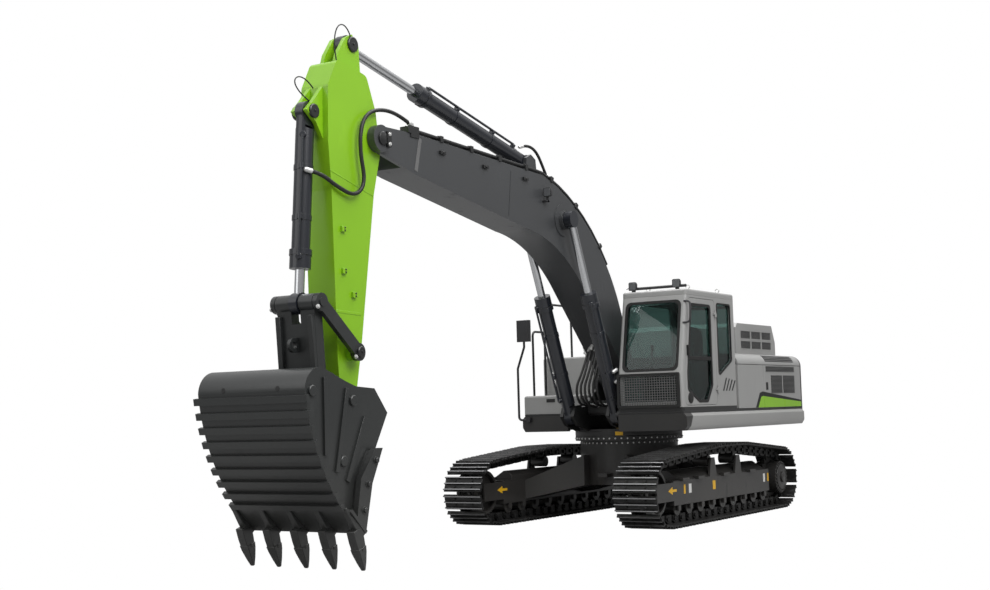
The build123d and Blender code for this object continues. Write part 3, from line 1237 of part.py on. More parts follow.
with BuildPart() as bucket:
    with BuildSketch(Plane.XZ) as wrap_face:
        with BuildLine():
            Polyline(bucket_lip, bucket_nape, *bucket_saddle, bucket_crest)
            ThreePointArc(bucket_crest, bucket_brow, bucket_heel[0])
            ThreePointArc(*bucket_heel)
            Line(bucket_heel[2], bucket_lip)
        make_face()
    extrude(amount=BUCKET_HALF, both=True)
    with BuildSketch(Plane.XZ):
        add(wrap_face.sketch_local)
        offset(amount=-BUCKET_BACK, mode=Mode.REPLACE)
    extrude(amount=BUCKET_HALF, both=True, mode=Mode.SUBTRACT)
    plate(
        [
            near(bucket_lip, BUCKET_BACK / 2, BUCKET_BACK),
            near(bucket_lip, 4 * BUCKET_BACK, 4 * BUCKET_BACK),
            near(bucket_nape, 4 * BUCKET_BACK, -1.3 * BUCKET_BACK),
            near(bucket_nape, -BUCKET_BACK, -1.3 * BUCKET_BACK),
            near(bucket_lip, -4 * BUCKET_BACK, BUCKET_BACK),
        ],
        -BUCKET_HALF,
        BUCKET_HALF,
        Mode.SUBTRACT,
    )
    for side in SIDES:
        with BuildSketch(Plane.XZ.offset(-side * BUCKET_HALF)):
            with BuildLine():
                Polyline(bucket_lip, *side_edge, *side_top, bucket_crest)
                ThreePointArc(bucket_crest, bucket_brow, bucket_heel[0])
                ThreePointArc(*bucket_heel)
                Line(bucket_heel[2], bucket_lip)
            make_face()
        extrude(amount=side * BUCKET_SIDE)
    plate(
        [
            bucket_lip,
            bucket_heel[2],
            near(bucket_heel[2], -0.7 * BUCKET_BACK, 0.7 * BUCKET_BACK),
            near(bucket_lip, -0.7 * BUCKET_BACK, 0.7 * BUCKET_BACK),
        ],
        -bucket_width,
        bucket_width,
    )
    cheeks(
        [
            bucket_lip,
            between(bucket_lip, bucket_heel[2], 0.6),
            near(side_edge[0], 3 * CUTTER, CUTTER),
            near(side_edge[1], 2 * CUTTER, 0),
            side_edge[1],
            side_edge[0],
        ],
        BUCKET_HALF + BUCKET_SIDE,
        bucket_width,
    )
    for index in range(WEAR_COUNT):
        spot = heel_arc @ ((index + 0.5) / WEAR_COUNT)
        along = heel_arc % ((index + 0.5) / WEAR_COUNT)
        plate(
            [
                near(
                    (spot.X, spot.Z),
                    way * along.X * WEAR_WIDTH / 2 - along.Z * rise,
                    way * along.Z * WEAR_WIDTH / 2 + along.X * rise,
                )
                for way, rise in ((-1, -WEAR_SINK), (1, -WEAR_SINK), (1, WEAR_DEPTH), (-1, WEAR_DEPTH))
            ],
            -BUCKET_HALF - BUCKET_SIDE - WEAR_REACH,
            BUCKET_HALF + BUCKET_SIDE + WEAR_REACH,
        )
    cheeks(
        [
            near(BUCKET_PIN, -SMALL_BOSS, 0),
            near(BUCKET_PIN, -SMALL_BOSS / 2, SMALL_BOSS),
            near(BUCKET_PIN, SMALL_BOSS, SMALL_BOSS),
            near(BUCKET_EAR, -SMALL_BOSS / 2, SMALL_BOSS),
            near(BUCKET_EAR, SMALL_BOSS, SMALL_BOSS / 2),
            near(bucket_saddle[1], 0, -BUCKET_BACK / 2),
            near(bucket_saddle[0], 0, -BUCKET_BACK / 2),
            near(bucket_nape, BUCKET_BACK / 2, -BUCKET_BACK / 2),
            near(BUCKET_PIN, 0, -SMALL_BOSS),
        ],
        EAR_INNER,
        EAR_OUTER,
    )
    disc(BUCKET_PIN, SMALL_PIN, -EAR_OUTER, EAR_OUTER)
    disc(BUCKET_EAR, SMALL_PIN, -EAR_OUTER, EAR_OUTER)
save(bucket, "bucket")

# Teeth, clasping the bucket's lip
TOOTH_TIP = near(bucket_lip, -18, -362)
TOOTH_ROOT = near(bucket_lip, 120, 50)
TOOTH_DEPTH = 150.0
TOOTH_EDGE = 22.0
axis_x = (TOOTH_TIP[0] - TOOTH_ROOT[0]) / math.dist(TOOTH_TIP, TOOTH_ROOT)
axis_z = (TOOTH_TIP[1] - TOOTH_ROOT[1]) / math.dist(TOOTH_TIP, TOOTH_ROOT)
tooth_line = [
    (TOOTH_ROOT[0] - axis_z * TOOTH_DEPTH / 2, TOOTH_ROOT[1] + axis_x * TOOTH_DEPTH / 2),
    (TOOTH_TIP[0] - axis_z * TOOTH_EDGE / 2, TOOTH_TIP[1] + axis_x * TOOTH_EDGE / 2),
    (TOOTH_TIP[0] + axis_z * TOOTH_EDGE / 2, TOOTH_TIP[1] - axis_x * TOOTH_EDGE / 2),
    (TOOTH_ROOT[0] + axis_z * TOOTH_DEPTH / 2, TOOTH_ROOT[1] - axis_x * TOOTH_DEPTH / 2),
]
with BuildPart() as bucket_teeth:
    for index in range(TOOTH_COUNT):
        y = (index - (TOOTH_COUNT - 1) / 2) * TOOTH_PITCH
        plate(tooth_line, y - TOOTH_WIDTH / 2, y + TOOTH_WIDTH / 2)
    add(bucket.part, mode=Mode.SUBTRACT)
save(bucket_teeth, "bucket_teeth")

# Idler links between the arm and the top of the bucket link, outside both
LINK_HALF = 70.0
with BuildPart() as idler_links:
    slope = math.atan2(LINK_TOP[1] - IDLER_FOOT[1], LINK_TOP[0] - IDLER_FOOT[0])
    across = (-math.sin(slope) * LINK_HALF, math.cos(slope) * LINK_HALF)
    cheeks(
        [
            (IDLER_FOOT[0] + across[0], IDLER_FOOT[1] + across[1]),
            (IDLER_FOOT[0] - across[0], IDLER_FOOT[1] - across[1]),
            (LINK_TOP[0] - across[0], LINK_TOP[1] - across[1]),
            (LINK_TOP[0] + across[0], LINK_TOP[1] + across[1]),
        ],
        EAR_INNER,
        EAR_OUTER,
    )
    for end in (IDLER_FOOT, LINK_TOP):
        bosses(end, LINK_BOSS, EAR_INNER, EAR_OUTER)
    bosses(IDLER_FOOT, SMALL_PIN + FIT, EAR_INNER, EAR_OUTER, Mode.SUBTRACT)
    bosses(LINK_TOP, SMALL_PIN, EAR_OUTER, EAR_OUTER + 2 * SIDE_GAP)
save(idler_links, "idler_links")

# Bucket link: a tube on the bucket's ear pin, a web, and two bosses either side of the ram's eye
LINK_WEB = 60.0
EYE_ROOM = 210.0
link_length = math.dist(LINK_TOP, BUCKET_EAR)
link_x = (LINK_TOP[0] - BUCKET_EAR[0]) / link_length
link_z = (LINK_TOP[1] - BUCKET_EAR[1]) / link_length
web_line = [
    (BUCKET_EAR[0] - link_z * LINK_WEB, BUCKET_EAR[1] + link_x * LINK_WEB),
    (BUCKET_EAR[0] + link_z * LINK_WEB, BUCKET_EAR[1] - link_x * LINK_WEB),
    (LINK_TOP[0] + link_z * LINK_WEB, LINK_TOP[1] - link_x * LINK_WEB),
    (LINK_TOP[0] - link_z * LINK_WEB, LINK_TOP[1] + link_x * LINK_WEB),
]
eye_slot = between(LINK_TOP, BUCKET_EAR, EYE_ROOM / link_length)
slot_line = [
    (eye_slot[0] - link_z * BUCKET_HALF, eye_slot[1] + link_x * BUCKET_HALF),
    (eye_slot[0] + link_z * BUCKET_HALF, eye_slot[1] - link_x * BUCKET_HALF),
    (eye_slot[0] + (link_z + link_x) * BUCKET_HALF, eye_slot[1] + (link_z - link_x) * BUCKET_HALF),
    (eye_slot[0] - (link_z - link_x) * BUCKET_HALF, eye_slot[1] + (link_z + link_x) * BUCKET_HALF),
]
with BuildPart() as bucket_link:
    plate(web_line, -TIP_HALF, TIP_HALF)
    disc(LINK_TOP, LINK_BOSS, -TIP_HALF, TIP_HALF)
    plate(slot_line, -LUG_INNER, LUG_INNER, Mode.SUBTRACT)
    disc(BUCKET_EAR, LINK_TUBE, -TIP_HALF, TIP_HALF)
    disc(BUCKET_EAR, SMALL_PIN + FIT, -TIP_HALF, TIP_HALF, Mode.SUBTRACT)
save(bucket_link, "bucket_link")

# Lifting eye on the front of the bucket link's web
HOOK_HOLE = 32.0
HOOK_RADIUS = 75.0
HOOK_PLATE = 40.0
hook_root = near(between(LINK_TOP, BUCKET_EAR, 0.5), link_z * LINK_WEB, -link_x * LINK_WEB)
hook_eye = near(hook_root, link_z * HOOK_RADIUS, -link_x * HOOK_RADIUS)
with BuildPart() as lifting_eye:
    plate(
        [
            near(hook_root, link_x * HOOK_RADIUS, link_z * HOOK_RADIUS),
            near(hook_root, -link_x * HOOK_RADIUS, -link_z * HOOK_RADIUS),
            near(hook_eye, -link_x * HOOK_RADIUS, -link_z * HOOK_RADIUS),
            near(hook_eye, link_x * HOOK_RADIUS, link_z * HOOK_RADIUS),
        ],
        -HOOK_PLATE / 2,
        HOOK_PLATE / 2,
    )
    disc(hook_eye, HOOK_RADIUS, -HOOK_PLATE / 2, HOOK_PLATE / 2)
    disc(hook_eye, HOOK_HOLE, -HOOK_PLATE / 2, HOOK_PLATE / 2, Mode.SUBTRACT)
save(lifting_eye, "lifting_eye")


def ram_barrel(foot, eye, y, length, pin):
    """Barrel of a ram: foot eye on its pin, tube, gland with the rod's bore."""
    bar(foot, eye, y, BARREL_RADIUS, 0, length - GLAND_LENGTH)
    bar(foot, eye, y, GLAND_RADIUS, length - GLAND_LENGTH, length)
    disc(foot, 2 * BARREL_RADIUS, y + EYE_HALF, y + 2 * BARREL_RADIUS, Mode.SUBTRACT)
    disc(foot, 2 * BARREL_RADIUS, y - 2 * BARREL_RADIUS, y - EYE_HALF, Mode.SUBTRACT)
    disc(foot, EYE_RADIUS, y - EYE_HALF, y + EYE_HALF)
    disc(foot, pin + FIT, y - EYE_HALF, y + EYE_HALF, Mode.SUBTRACT)
    bar(foot, eye, y, BORE_RADIUS, BARREL_FLOOR, length - GLAND_LENGTH / 2, Mode.SUBTRACT)
    bar(foot, eye, y, ROD_RADIUS + FIT, length - GLAND_LENGTH / 2, length, Mode.SUBTRACT)


def ram_rod(foot, eye, y, tail):
    """Rod of a ram: polished bar with a closed eye that holds the end of its pin."""
    bar(foot, eye, y, ROD_RADIUS, tail, math.dist(foot, eye))
    disc(eye, EYE_RADIUS, y - EYE_HALF, y + EYE_HALF)


# Rams of the boom (a pair), the arm and the bucket
with BuildPart() as boom_ram_barrels:
    for side in SIDES:
        ram_barrel(BOOM_RAM_FOOT, BOOM_RAM_EYE, side * RAM_OFFSET, BOOM_BARREL, SMALL_PIN)
save(boom_ram_barrels, "boom_ram_barrels")
with BuildPart() as boom_ram_rods:
    for side in SIDES:
        ram_rod(BOOM_RAM_FOOT, BOOM_RAM_EYE, side * RAM_OFFSET, BOOM_ROD_TAIL)
save(boom_ram_rods, "boom_ram_rods")
with BuildPart() as arm_ram_barrel:
    ram_barrel(ARM_RAM_FOOT, ARM_RAM_EYE, 0, ARM_BARREL, SMALL_PIN)
save(arm_ram_barrel, "arm_ram_barrel")
with BuildPart() as arm_ram_rod:
    ram_rod(ARM_RAM_FOOT, ARM_RAM_EYE, 0, ARM_ROD_TAIL)
save(arm_ram_rod, "arm_ram_rod")
with BuildPart() as bucket_ram_barrel:
    ram_barrel(BUCKET_RAM_FOOT, LINK_TOP, 0, BUCKET_BARREL, SMALL_PIN)
save(bucket_ram_barrel, "bucket_ram_barrel")
with BuildPart() as bucket_ram_rod:
    ram_rod(BUCKET_RAM_FOOT, LINK_TOP, 0, BUCKET_ROD_TAIL)
save(bucket_ram_rod, "bucket_ram_rod")
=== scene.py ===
"""Crawler excavator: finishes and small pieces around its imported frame."""

import json
import math

import bmesh
import bpy
from bpy.props import FloatProperty, FloatVectorProperty, IntProperty, PointerProperty
from mathutils import Matrix, Vector


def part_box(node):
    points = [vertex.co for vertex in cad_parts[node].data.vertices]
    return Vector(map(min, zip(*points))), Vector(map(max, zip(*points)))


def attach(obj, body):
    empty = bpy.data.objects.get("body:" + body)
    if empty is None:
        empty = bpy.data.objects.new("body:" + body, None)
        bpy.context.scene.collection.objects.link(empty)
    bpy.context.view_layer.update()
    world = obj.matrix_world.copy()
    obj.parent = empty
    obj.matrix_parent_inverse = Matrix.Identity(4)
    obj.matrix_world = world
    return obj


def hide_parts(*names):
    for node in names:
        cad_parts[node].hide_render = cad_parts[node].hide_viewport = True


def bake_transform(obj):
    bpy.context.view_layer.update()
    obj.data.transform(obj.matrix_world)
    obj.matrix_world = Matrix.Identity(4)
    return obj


bl_info = {
    "name": "Crawler Excavator",
    "version": (1, 0, 0),
    "blender": (4, 5, 0),
    "location": "View3D > Sidebar > Excavator",
    "description": "Dresses a crawler excavator: paint, tracks, bucket, hoses, cab and lamps",
    "category": "Object",
}

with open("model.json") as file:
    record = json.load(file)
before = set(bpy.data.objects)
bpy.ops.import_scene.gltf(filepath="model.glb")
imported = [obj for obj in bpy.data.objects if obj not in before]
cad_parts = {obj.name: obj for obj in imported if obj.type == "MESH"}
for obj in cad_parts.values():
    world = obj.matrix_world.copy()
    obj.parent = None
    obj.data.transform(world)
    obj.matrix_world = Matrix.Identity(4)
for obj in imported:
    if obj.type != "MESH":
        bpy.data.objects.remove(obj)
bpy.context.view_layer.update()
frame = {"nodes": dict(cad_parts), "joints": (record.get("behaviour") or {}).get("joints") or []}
NODES = frame["nodes"]
JOINTS = {joint["name"]: joint for joint in frame["joints"]}

# Directions
FORWARD = Vector((1, 0, 0))
LEFT = Vector((0, 1, 0))
UP = Vector((0, 0, 1))
SIDES = (1, -1)


def pivot(joint):
    """Point on the axis of a joint."""
    return Vector(JOINTS[joint]["pos_m"])


def rod_eye(ram, node):
    """Middle of the eye at the far end of a ram's rod, in the rod's own plane."""
    axis = Vector(JOINTS[ram + "_stroke"]["axis"])
    foot = pivot(ram + "_tilt")
    reach = max((vertex.co - foot).dot(axis) for vertex in NODES[node].data.vertices)
    return foot + axis * (reach - EYE_RADIUS)


# Pins of the digging gear
EYE_RADIUS = 0.112
BOOM_FOOT = pivot("boom_lift")
BOOM_TIP = pivot("arm_swing")
BUCKET_PIN = pivot("bucket_curl")
IDLER_FOOT = pivot("idler_link_swing")
BUCKET_RAM_FOOT = pivot("bucket_ram_tilt")
BOOM_RAM_EYE = rod_eye("boom_ram", "boom_ram_rods")
ARM_RAM_EYE = rod_eye("arm_ram", "arm_ram_rod")
LINK_TOP = rod_eye("bucket_ram", "bucket_ram_rod")
ROD_EYES = {"boom_ram_rods": BOOM_RAM_EYE, "arm_ram_rod": ARM_RAM_EYE, "bucket_ram_rod": LINK_TOP}

# Half widths and levels that several pieces share
BOOM_SIDE = 0.235
ARM_SIDE = 0.18
CAB_SIDE = 1.5
CAB_REAR = -0.487
ROOF_TOP = 3.12
# Depth that an added piece sinks into the surface under it
SUNK = 0.002
# Angle from which an edge counts as sharp
SHARP = math.radians(38)


class ExcavatorColours(bpy.types.PropertyGroup):
    """Colours of the machine."""

    arm: FloatVectorProperty(
        name="Arm",
        description="Bright paint of the arm and the stripes",
        subtype="COLOR",
        default=(0.235, 0.50, 0.008),
    )
    boom: FloatVectorProperty(
        name="Boom",
        description="Dark grey paint of the boom",
        subtype="COLOR",
        default=(0.046, 0.048, 0.051),
    )
    body: FloatVectorProperty(
        name="Body",
        description="Pale paint of the cab and the panels",
        subtype="COLOR",
        default=(0.31, 0.31, 0.305),
    )
    black: FloatVectorProperty(
        name="Chassis",
        description="Black paint of the undercarriage",
        subtype="COLOR",
        default=(0.012, 0.0125, 0.013),
    )
    bucket: FloatVectorProperty(
        name="Bucket",
        description="Dark paint of the bucket",
        subtype="COLOR",
        default=(0.022, 0.024, 0.024),
    )
    ram: FloatVectorProperty(
        name="Rams",
        description="Blue black paint of the ram barrels",
        subtype="COLOR",
        default=(0.012, 0.014, 0.020),
    )
    weight: FloatVectorProperty(
        name="Counterweight",
        description="Dark paint of the counterweight",
        subtype="COLOR",
        default=(0.05, 0.05, 0.052),
    )
    marker: FloatVectorProperty(
        name="Markers",
        description="Yellow of the blank plates and arrows",
        subtype="COLOR",
        default=(0.75, 0.42, 0.01),
    )
    dust: FloatVectorProperty(
        name="Dust",
        description="Fine dust that settles low down",
        subtype="COLOR",
        default=(0.16, 0.14, 0.12),
    )


class ExcavatorSizes(bpy.types.PropertyGroup):
    """Sizes of the added pieces."""

    shoes: IntProperty(name="Shoes", description="Shoes on each track", default=49, min=20)
    grouser: FloatProperty(
        name="Grouser", description="Height of a shoe's ribs", default=0.030, unit="LENGTH"
    )
    shoe: FloatProperty(
        name="Shoe", description="Thickness of a shoe's plate", default=0.016, unit="LENGTH"
    )
    link: FloatProperty(
        name="Link", description="Height of a track link", default=0.110, unit="LENGTH"
    )
    hose: FloatProperty(
        name="Hose", description="Radius of the large hoses", default=0.019, unit="LENGTH"
    )
    pipe: FloatProperty(
        name="Pipe", description="Radius of the steel oil pipes", default=0.017, unit="LENGTH"
    )
    bolt: FloatProperty(
        name="Bolt", description="Width over the flats of a bolt head", default=0.036, unit="LENGTH"
    )
    seal: FloatProperty(
        name="Seal", description="Width of the black window seals", default=0.035, unit="LENGTH"
    )


class Wire:
    """A socket in a node tree; arithmetic on it adds Math nodes."""

    def __init__(self, nodes, socket):
        self.nodes = nodes
        self.socket = socket

    def _math(self, operation, first, second):
        return self.nodes.node("ShaderNodeMath", {"operation": operation}, {0: first, 1: second})

    def __add__(self, other):
        return self._math("ADD", self, other)

    __radd__ = __add__

    def __sub__(self, other):
        return self._math("SUBTRACT", self, other)

    def __rsub__(self, other):
        return self._math("SUBTRACT", other, self)

    def __mul__(self, other):
        return self._math("MULTIPLY", self, other)

    __rmul__ = __mul__

    def step(self, low, high):
        """0 below low, 1 above high and a smooth rise between them."""
        settings = {"interpolation_type": "SMOOTHSTEP"}
        links = {"Value": self, "From Min": low, "From Max": high}
        return self.nodes.node("ShaderNodeMapRange", settings, links)


class Nodes:
    """A node tree with short ways to add to it."""

    def __init__(self, tree):
        self.tree = tree

    def feed(self, socket, value):
        """Link a wire to a socket, or set the socket's own value."""
        if isinstance(value, Wire):
            self.tree.links.new(value.socket, socket)
        else:
            socket.default_value = value

    def node(self, kind, settings=None, links=None, output=0):
        """Add a node: its settings first, then the values or wires of its sockets."""
        node = self.tree.nodes.new(kind)
        for name, value in (settings or {}).items():
            setattr(node, name, value)
        for name, value in (links or {}).items():
            self.feed(node.inputs[name], value)
        return Wire(self, node.outputs[output])


class Finish(Nodes):
    """A procedural surface: one Principled shader and the nodes that feed it."""

    def __init__(self, name, **sockets):
        self.material = bpy.data.materials.new(name)
        self.material.use_nodes = True
        super().__init__(self.material.node_tree)
        self.shader = self.tree.nodes["Principled BSDF"]
        for words, value in sockets.items():
            self.feed(self.shader.inputs[words.replace("_", " ")], value)
        self.place = self.node("ShaderNodeTexCoord", output="Object")

    def noise(self, scale, detail=3.0, stretch=None):
        """Cloudy noise fixed to the machine, longer along an axis with a small stretch value."""
        place = self.place
        if stretch:
            place = self.node("ShaderNodeVectorMath", {"operation": "MULTIPLY"}, {0: place, 1: stretch})
        return self.node("ShaderNodeTexNoise", None, {"Vector": place, "Scale": scale, "Detail": detail})

    def wave(self, direction, scale, distortion=0.0):
        """Even bands across one axis of the machine."""
        links = {"Vector": self.place, "Scale": scale, "Distortion": distortion}
        return self.node("ShaderNodeTexWave", {"bands_direction": direction}, links, output="Fac")

    def axis(self, name):
        """Distance along one axis of the machine."""
        return self.node("ShaderNodeSeparateXYZ", None, {0: self.place}, output=name)

    def mix(self, share, first, second):
        """Blend of two colours."""
        first, second = (value if isinstance(value, Wire) else (*value, 1.0) for value in (first, second))
        return self.node("ShaderNodeMix", {"data_type": "RGBA"}, {0: share, 6: first, 7: second}, output=2)

    def bump(self, height, strength, distance):
        """Small relief on the surface."""
        links = {"Height": height, "Strength": strength, "Distance": distance}
        self.feed(self.shader.inputs["Normal"], self.node("ShaderNodeBump", None, links))

    def surface(self, colour, roughness):
        """Set what changes over the surface and give the material back."""
        self.feed(self.shader.inputs["Base Color"], colour)
        self.feed(self.shader.inputs["Roughness"], roughness)
        return self.material


def shade(colour, factor):
    """Lighter or darker tone of a colour."""
    return tuple(min(1.0, part * factor) for part in colour)


def sprayed_paint(name, colour, dust, roughness, dusty=0.25, scuffed=0.10, coat=0.25):
    """Sprayed machine paint: slight orange peel, faint clouds, scuffs, and dust that gathers low down."""
    finish = Finish(name, Coat_Weight=coat, Coat_Roughness=0.18)
    cloud = finish.noise(0.8, 4.0)
    peel = finish.noise(160.0, 2.0)
    scuff = finish.noise(7.0, 9.0, (1.0, 1.0, 0.3)).step(0.60, 0.74)
    speck = finish.noise(55.0, 6.0).step(0.62, 0.72)
    low = 1 - finish.axis("Z").step(0.1, 1.9)
    tone = finish.mix(cloud, shade(colour, 0.86), shade(colour, 1.12))
    tone = finish.mix(scuff * scuffed, tone, shade(colour, 2.2))
    tone = finish.mix((low * cloud + speck * 0.12) * dusty, tone, dust)
    finish.bump(peel, 0.06, 0.002)
    return finish.surface(tone, roughness + scuff * 0.14 + cloud * 0.08)


def split_skirt_paint(name, colours):
    """Skirt paint: pale along the side, black at the front, parted on a slanted line."""
    finish = Finish(name, Coat_Weight=0.2, Coat_Roughness=0.2)
    cloud = finish.noise(0.9, 4.0)
    right = 1 - finish.axis("Y").step(-0.1, 0.1)
    line = finish.axis("X") + finish.axis("Z") * 0.55 + right * 0.92
    front = line.step(1.905, 1.915)
    tone = finish.mix(cloud, shade(colours.body, 0.9), shade(colours.body, 1.1))
    tone = finish.mix(front, tone, colours.black)
    tone = finish.mix(cloud * 0.12, tone, colours.dust)
    finish.bump(finish.noise(160.0, 2.0), 0.05, 0.002)
    return finish.surface(tone, 0.38 + cloud * 0.1)


def bare_steel(name, colour, roughness, brushed=(1.0, 1.0, 1.0), metallic=1.0):
    """Bare metal with fine scratches along one direction."""
    finish = Finish(name, Metallic=metallic)
    scratch = finish.noise(90.0, 5.0, brushed)
    cloud = finish.noise(3.0, 3.0)
    tone = finish.mix(scratch, shade(colour, 0.7), shade(colour, 1.15))
    finish.bump(scratch, 0.05, 0.001)
    return finish.surface(tone, roughness + cloud * 0.15)


def worn_track_steel(name, colours):
    """Black shoe steel with dry dust in its hollows and rubbed grey patches."""
    finish = Finish(name, Metallic=0.6)
    cloud = finish.noise(2.2, 6.0)
    rub = finish.noise(26.0, 8.0, (1.0, 0.25, 1.0)).step(0.52, 0.70)
    tone = finish.mix(cloud, shade(colours.black, 0.9), shade(colours.black, 2.0))
    tone = finish.mix(rub * 0.35, tone, (0.16, 0.16, 0.165))
    tone = finish.mix(cloud * 0.12, tone, colours.dust)
    finish.bump(finish.noise(70.0, 6.0), 0.15, 0.003)
    return finish.surface(tone, 0.36 + rub * 0.12 + cloud * 0.12)


def moulded(name, colour, roughness, grain=240.0):
    """Moulded rubber or plastic with a fine leathery grain."""
    finish = Finish(name)
    pebble = finish.noise(grain, 3.0)
    cloud = finish.noise(4.0, 3.0)
    tone = finish.mix(cloud, shade(colour, 0.8), shade(colour, 1.25))
    finish.bump(pebble, 0.18, 0.0015)
    return finish.surface(tone, roughness + pebble * 0.12)


def woven(name, colour):
    """Seat cloth: two crossed thread waves."""
    finish = Finish(name, Sheen_Weight=0.3)
    thread = finish.wave("X", 170.0, 0.6) * finish.wave("Y", 170.0, 0.6)
    tone = finish.mix(thread, shade(colour, 0.6), shade(colour, 1.5))
    finish.bump(thread, 0.3, 0.001)
    return finish.surface(tone, 0.85 - thread * 0.1)


def tinted_glass(name, colour):
    """Tinted safety glass with faint smears."""
    finish = Finish(name, Transmission_Weight=1.0, IOR=1.45)
    smear = finish.noise(3.0, 5.0, (1.0, 1.0, 0.4)).step(0.5, 0.8)
    tone = finish.mix(smear, colour, shade(colour, 0.94))
    return finish.surface(tone, 0.0)


def lamp_lens(name):
    """Ribbed lamp lens over a dark bowl."""
    finish = Finish(name, Coat_Weight=1.0, Metallic=0.3)
    rib = finish.wave("Y", 30.0)
    finish.bump(rib, 0.3, 0.004)
    return finish.surface(finish.mix(rib, (0.07, 0.07, 0.075), (0.20, 0.21, 0.22)), 0.12 + rib * 0.05)


FINISHES = {}


def mix_finishes(colours):
    """Make every finish of the machine once."""
    dust = colours.dust
    FINISHES.update(
        arm=sprayed_paint("arm lime paint", colours.arm, dust, 0.30, 0.05, 0.03, 0.4),
        boom=sprayed_paint("boom grey paint", colours.boom, dust, 0.34, 0.10, 0.06, 0.3),
        body=sprayed_paint("panel silver paint", colours.body, dust, 0.33, 0.06, 0.03, 0.35),
        black=sprayed_paint("chassis black paint", colours.black, dust, 0.36, 0.20, 0.06),
        bucket=sprayed_paint("bucket charcoal paint", colours.bucket, dust, 0.35, 0.14, 0.10, 0.3),
        ram=sprayed_paint("ram blue black paint", colours.ram, dust, 0.26, 0.06, 0.05, 0.5),
        weight=sprayed_paint("counterweight paint", colours.weight, dust, 0.42, 0.12, 0.06),
        skirt=split_skirt_paint("skirt paint", colours),
        track=worn_track_steel("track steel", colours),
        grouser=bare_steel("worn grouser edge", (0.42, 0.42, 0.43), 0.30, (1.0, 0.1, 1.0)),
        chrome=bare_steel("rod chrome", (0.72, 0.73, 0.75), 0.08, (6.0, 6.0, 0.5)),
        zinc=bare_steel("bolt zinc", (0.74, 0.74, 0.73), 0.28, metallic=0.5),
        rubber=moulded("hose rubber", (0.012, 0.012, 0.012), 0.45, 500.0),
        seal=moulded("black seal rubber and painted shade", (0.006, 0.006, 0.006), 0.45, 300.0),
        plastic=moulded("dark plastic", (0.025, 0.025, 0.027), 0.42),
        cloth=woven("seat cloth", (0.035, 0.035, 0.038)),
        glass=tinted_glass("cab glass", (0.30, 0.45, 0.42)),
        lens=lamp_lens("lamp lens"),
        grille=moulded("grille mesh", (0.12, 0.12, 0.12), 0.5, 400.0),
        mirror=bare_steel("mirror glass", (0.80, 0.82, 0.84), 0.03),
        marker=sprayed_paint("marker yellow", colours.marker, dust, 0.40, 0.05, 0.02, 0.1),
        plate=sprayed_paint("blank white plate", (0.70, 0.70, 0.68), dust, 0.40, 0.05, 0.02, 0.1),
        engine=bare_steel("engine casting", (0.30, 0.30, 0.31), 0.5),
    )


def corners(node):
    """Lowest and highest corner of a node at rest."""
    return [Vector(corner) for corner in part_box(node)]


def box_middle(node):
    """Middle of a node's box at rest."""
    low, high = corners(node)
    return (low + high) / 2


def span(side, near, far):
    """Low and high y between two distances from the middle plane, on one side of the machine."""
    return sorted((side * near, side * far))


def layer(y, way, sunk, proud):
    """Low and high y of a thin layer on a wall at y that faces one way."""
    return sorted((y - way * sunk, y + way * proud))


def spread(low, high, count):
    """Evenly spaced values from low to high."""
    return [low + (high - low) * index / (count - 1) for index in range(count)]


def turns(count):
    """Equal angles round a full circle."""
    return [math.tau * index / count for index in range(count)]


def axes(x, y, z, at=(0, 0, 0)):
    """Matrix that puts a shape's own axes along three directions, at a place."""
    return Matrix.Translation(at) @ Matrix((x, y, z)).transposed().to_4x4()


def surface(node, origin, direction):
    """Point and outward normal where a ray first meets a node's surface."""
    hit, place, normal, _ = NODES[node].ray_cast(Vector(origin), Vector(direction).normalized())
    if not hit:
        raise ValueError(f"no surface of {node} on the line from {tuple(origin)}")
    return place, normal


def touch(node, origin, direction):
    """Point where a ray first meets a node's surface."""
    return surface(node, origin, direction)[0]


def neighbours(points):
    """Each point of a closed line with the ones before and after it."""
    return zip(points[-1:] + points[:-1], points, points[1:] + points[:1])


def rounded(outline, radius, steps=5):
    """Flat outline with each corner replaced by an arc."""
    result = []
    for before, corner, after in neighbours([Vector(point) for point in outline]):
        to_before = (before - corner).normalized()
        to_after = (after - corner).normalized()
        half = to_before.angle(to_after) / 2
        room = 0.45 * min((before - corner).length, (after - corner).length)
        cut = min(radius / math.tan(half), room)
        bend = cut * math.tan(half)
        centre = corner + (to_before + to_after).normalized() * (bend / math.sin(half))
        start = corner + to_before * cut - centre
        end = corner + to_after * cut - centre
        for turn in spread(0.0, -start.angle_signed(end), steps + 1):
            result.append(tuple(centre + Matrix.Rotation(turn, 2) @ start))
    return result


def grown(outline, distance):
    """Anticlockwise outline moved outward by a distance."""
    result = []
    for before, corner, after in neighbours([Vector(point) for point in outline]):
        coming = (corner - before).normalized()
        going = (after - corner).normalized()
        first = Vector((coming.y, -coming.x))
        second = Vector((going.y, -going.x))
        outward = (first + second).normalized()
        result.append(tuple(corner + outward * (distance / outward.dot(first))))
    return result


def clipped(outline, low, high):
    """Part of an (x, z) outline between two x values."""
    for limit, keep in ((low, 1), (high, -1)):
        result = []
        for start, end in zip(outline, outline[1:] + outline[:1]):
            inside = (start[0] - limit) * keep >= 0
            if inside:
                result.append(start)
            if inside != ((end[0] - limit) * keep >= 0):
                share = (limit - start[0]) / (end[0] - start[0])
                result.append((limit, start[1] + (end[1] - start[1]) * share))
        outline = result
    return outline


def oblong(low, high):
    """Anticlockwise outline of the rectangle between two flat corners."""
    return [(low[0], low[1]), (high[0], low[1]), (high[0], high[1]), (low[0], high[1])]


